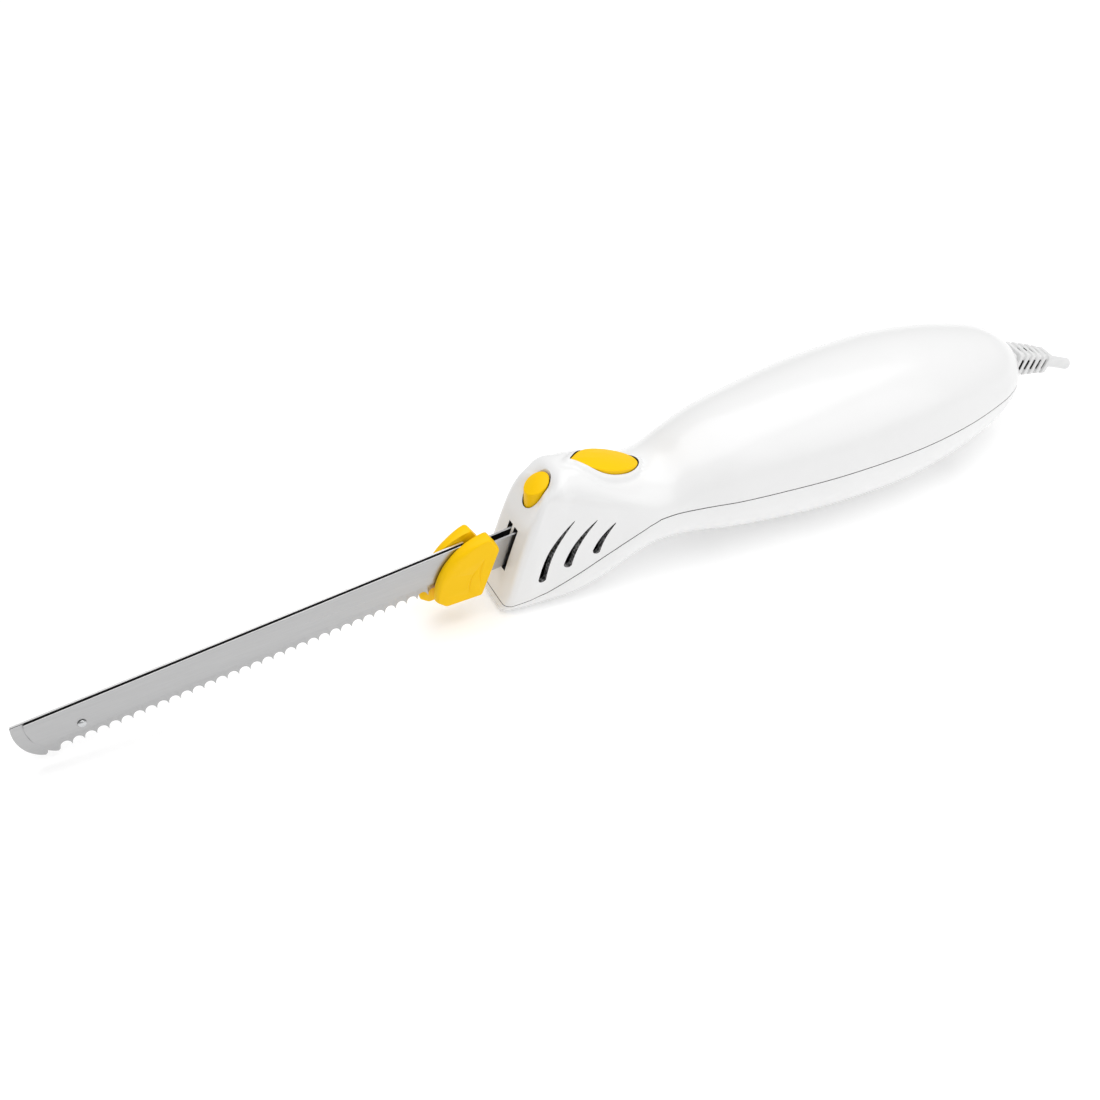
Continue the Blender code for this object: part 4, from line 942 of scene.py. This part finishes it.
def build_strain_relief():
    """Ribbed boot with a small window in each groove."""
    ribs = 6
    start, end, first = t_at(204.7), t_at(238.0), t_at(215.6)
    rings = [square_ring(start, 6.6), square_ring(t_at(206.4), 6.6), square_ring(t_at(206.5), 4.6),
             square_ring(first, 4.6)]
    grooves = []
    for n in range(ribs):
        size = lerp(6.3, 4.9, n / (ribs - 1))
        for f, less in RIB_PROFILE:
            if n == ribs - 1 and f > 0.55:
                continue
            rings.append(square_ring(lerp(first, end, (n + f) / (ribs - 0.45)), size - less))
        if n < ribs - 1:
            grooves.append(lerp(first, end, (n + 0.78) / (ribs - 0.45)))
    grey = MATERIALS["grey"]
    boot = add_mesh("cord_boot", *loft(rings), grey, 40)
    boot.data.materials.append(MATERIALS["inside"])
    bore = [cord_point(lerp(t_at(198), t_at(245), k / 32))[0] for k in range(33)]
    cut(boot, add_mesh("bore", *tube(bore, CORD_R + 0.3, 32), grey))
    for t in grooves:
        centre, direction = cord_point(t)
        across = Vector((0, 1, 0))
        up = Vector((-direction.z, 0, direction.x))
        sides = ((across, up, 2.4), (-across, up, 2.4), (up, across, 1.2), (-up, across, 1.2))
        for outward, other, wide in sides:
            corners = []
            for reach in (CORD_R + 0.8, 8.0):
                for a, b in ((-1.0, -wide), (1.0, -wide), (1.0, wide), (-1.0, wide)):
                    corners.append(centre + outward * reach + direction * a + other * b)
            window = add_mesh("window", *loft([corners[:4], corners[4:]]), grey)
            # The windows' walls take the near-black inside material: painted shade.
            cut(boot, dark_faces(window))
    boot.data.set_sharp_from_angle(angle=math.radians(40))
    return place(boot, "housing", "cord_grey", "strain_relief")


def build_cord():
    """The cord from inside the housing to a short way past its boot."""
    points = [cord_point(k / 80)[0] for k in range(81)]
    cord = add_mesh("mains_cord", *tube(points, CORD_R, 32), MATERIALS["grey"], 50)
    return place(cord, "housing", "cord_grey", "power_cord")


def build_screws():
    """Cross-recessed casing screws with a ridged thread."""
    for n, (x, y) in enumerate(SCREWS, 1):
        z = SCREW_HEAD_Z - 2.5
        profile = [(0, 2.2), (0.25, 2.8), (0.7, 3.2), (2.2, 3.3), (2.2, 1.5)]
        profile += [(2.4 + 0.4 * k, 1.5 if k % 2 else 1.15) for k in range(46)] + [(22.3, 0.4)]
        screw = lathe(profile, (x, y, z), (0, 0, 1), 32)
        screw = add_mesh(f"casing_screw_{n}", *screw, MATERIALS["steel"], 30)
        for length, width in ((1.9, 0.35), (0.35, 1.9)):
            recess = block(x - length, x + length, y - width, y + width, z - 1, z + 1.3)
            cut(screw, add_mesh("recess", *recess, MATERIALS["steel"]))
        place(screw, "housing", "bright_steel", f"housing_screw_{n}")


# ------------------------------------------------------------------ studio
def build_studio():
    """White paper floor, an even white surround, a large lamp above and a weak fill."""
    paper = Shader("floor", (0.92, 0.92, 0.92), 0.7, Emission_Color=(1.0, 1.0, 1.0, 1.0),
                   Emission_Strength=0.2)
    grain = paper.mix(paper.noise(400.0), (0.915, 0.915, 0.915), (0.93, 0.93, 0.93))
    paper.set("Base Color", grain)
    corners = [(-6000, -6000, 0), (6000, -6000, 0), (6000, 6000, 0), (-6000, 6000, 0)]
    floor = add_mesh("floor", corners, [(0, 1, 2, 3)], paper.material)
    floor.location.z = -0.0003
    world = bpy.data.worlds.new("studio")
    world.use_nodes = True
    background = world.node_tree.nodes["Background"]
    background.inputs["Color"].default_value = (1.0, 1.0, 1.0, 1.0)
    background.inputs["Strength"].default_value = 0.42
    scene = bpy.context.scene
    scene.world = world
    scene.view_settings.view_transform = "Standard"
    lamps = (("top", (0.05, 0.05, 1.5), 1.8, 19.5), ("fill", (0.7, -1.0, 0.8), 1.0, 3.4))
    for name, place_at, size, power in lamps:
        light = bpy.data.lights.new(name, "AREA")
        light.size = size
        light.energy = power
        lamp = bpy.data.objects.new(name, light)
        lamp.location = place_at
        aim = Vector((0, 0, 0.03)) - Vector(place_at)
        lamp.rotation_euler = aim.to_track_quat("-Z", "Y").to_euler()
        scene.collection.objects.link(lamp)


def build_camera():
    """Three-quarter view from above, in front of the blades' near side."""
    data = bpy.data.cameras.new("camera")
    data.lens = 51.28
    data.sensor_width = 36.0
    data.clip_start = 0.01
    camera = bpy.data.objects.new("camera", data)
    camera.location = (-0.2352, -0.4196, 0.4726)
    camera.rotation_euler = (math.radians(46.0), 0.0, math.radians(-27.09))
    bpy.context.scene.collection.objects.link(camera)
    bpy.context.scene.camera = camera


# ------------------------------------------------------------------ assembly
finish_inner_nodes()
build_shell("upper_shell", True)
build_shell("lower_shell", False)
build_blade("left_blade", -1, CRANK)
build_blade("right_blade", 1, -CRANK)
build_rivet()
build_guard("left_guard", -1, CRANK)
build_guard("right_guard", 1, -CRANK)
build_button()
build_trigger()
build_strain_relief()
build_cord()
build_screws()
build_studio()
build_camera()
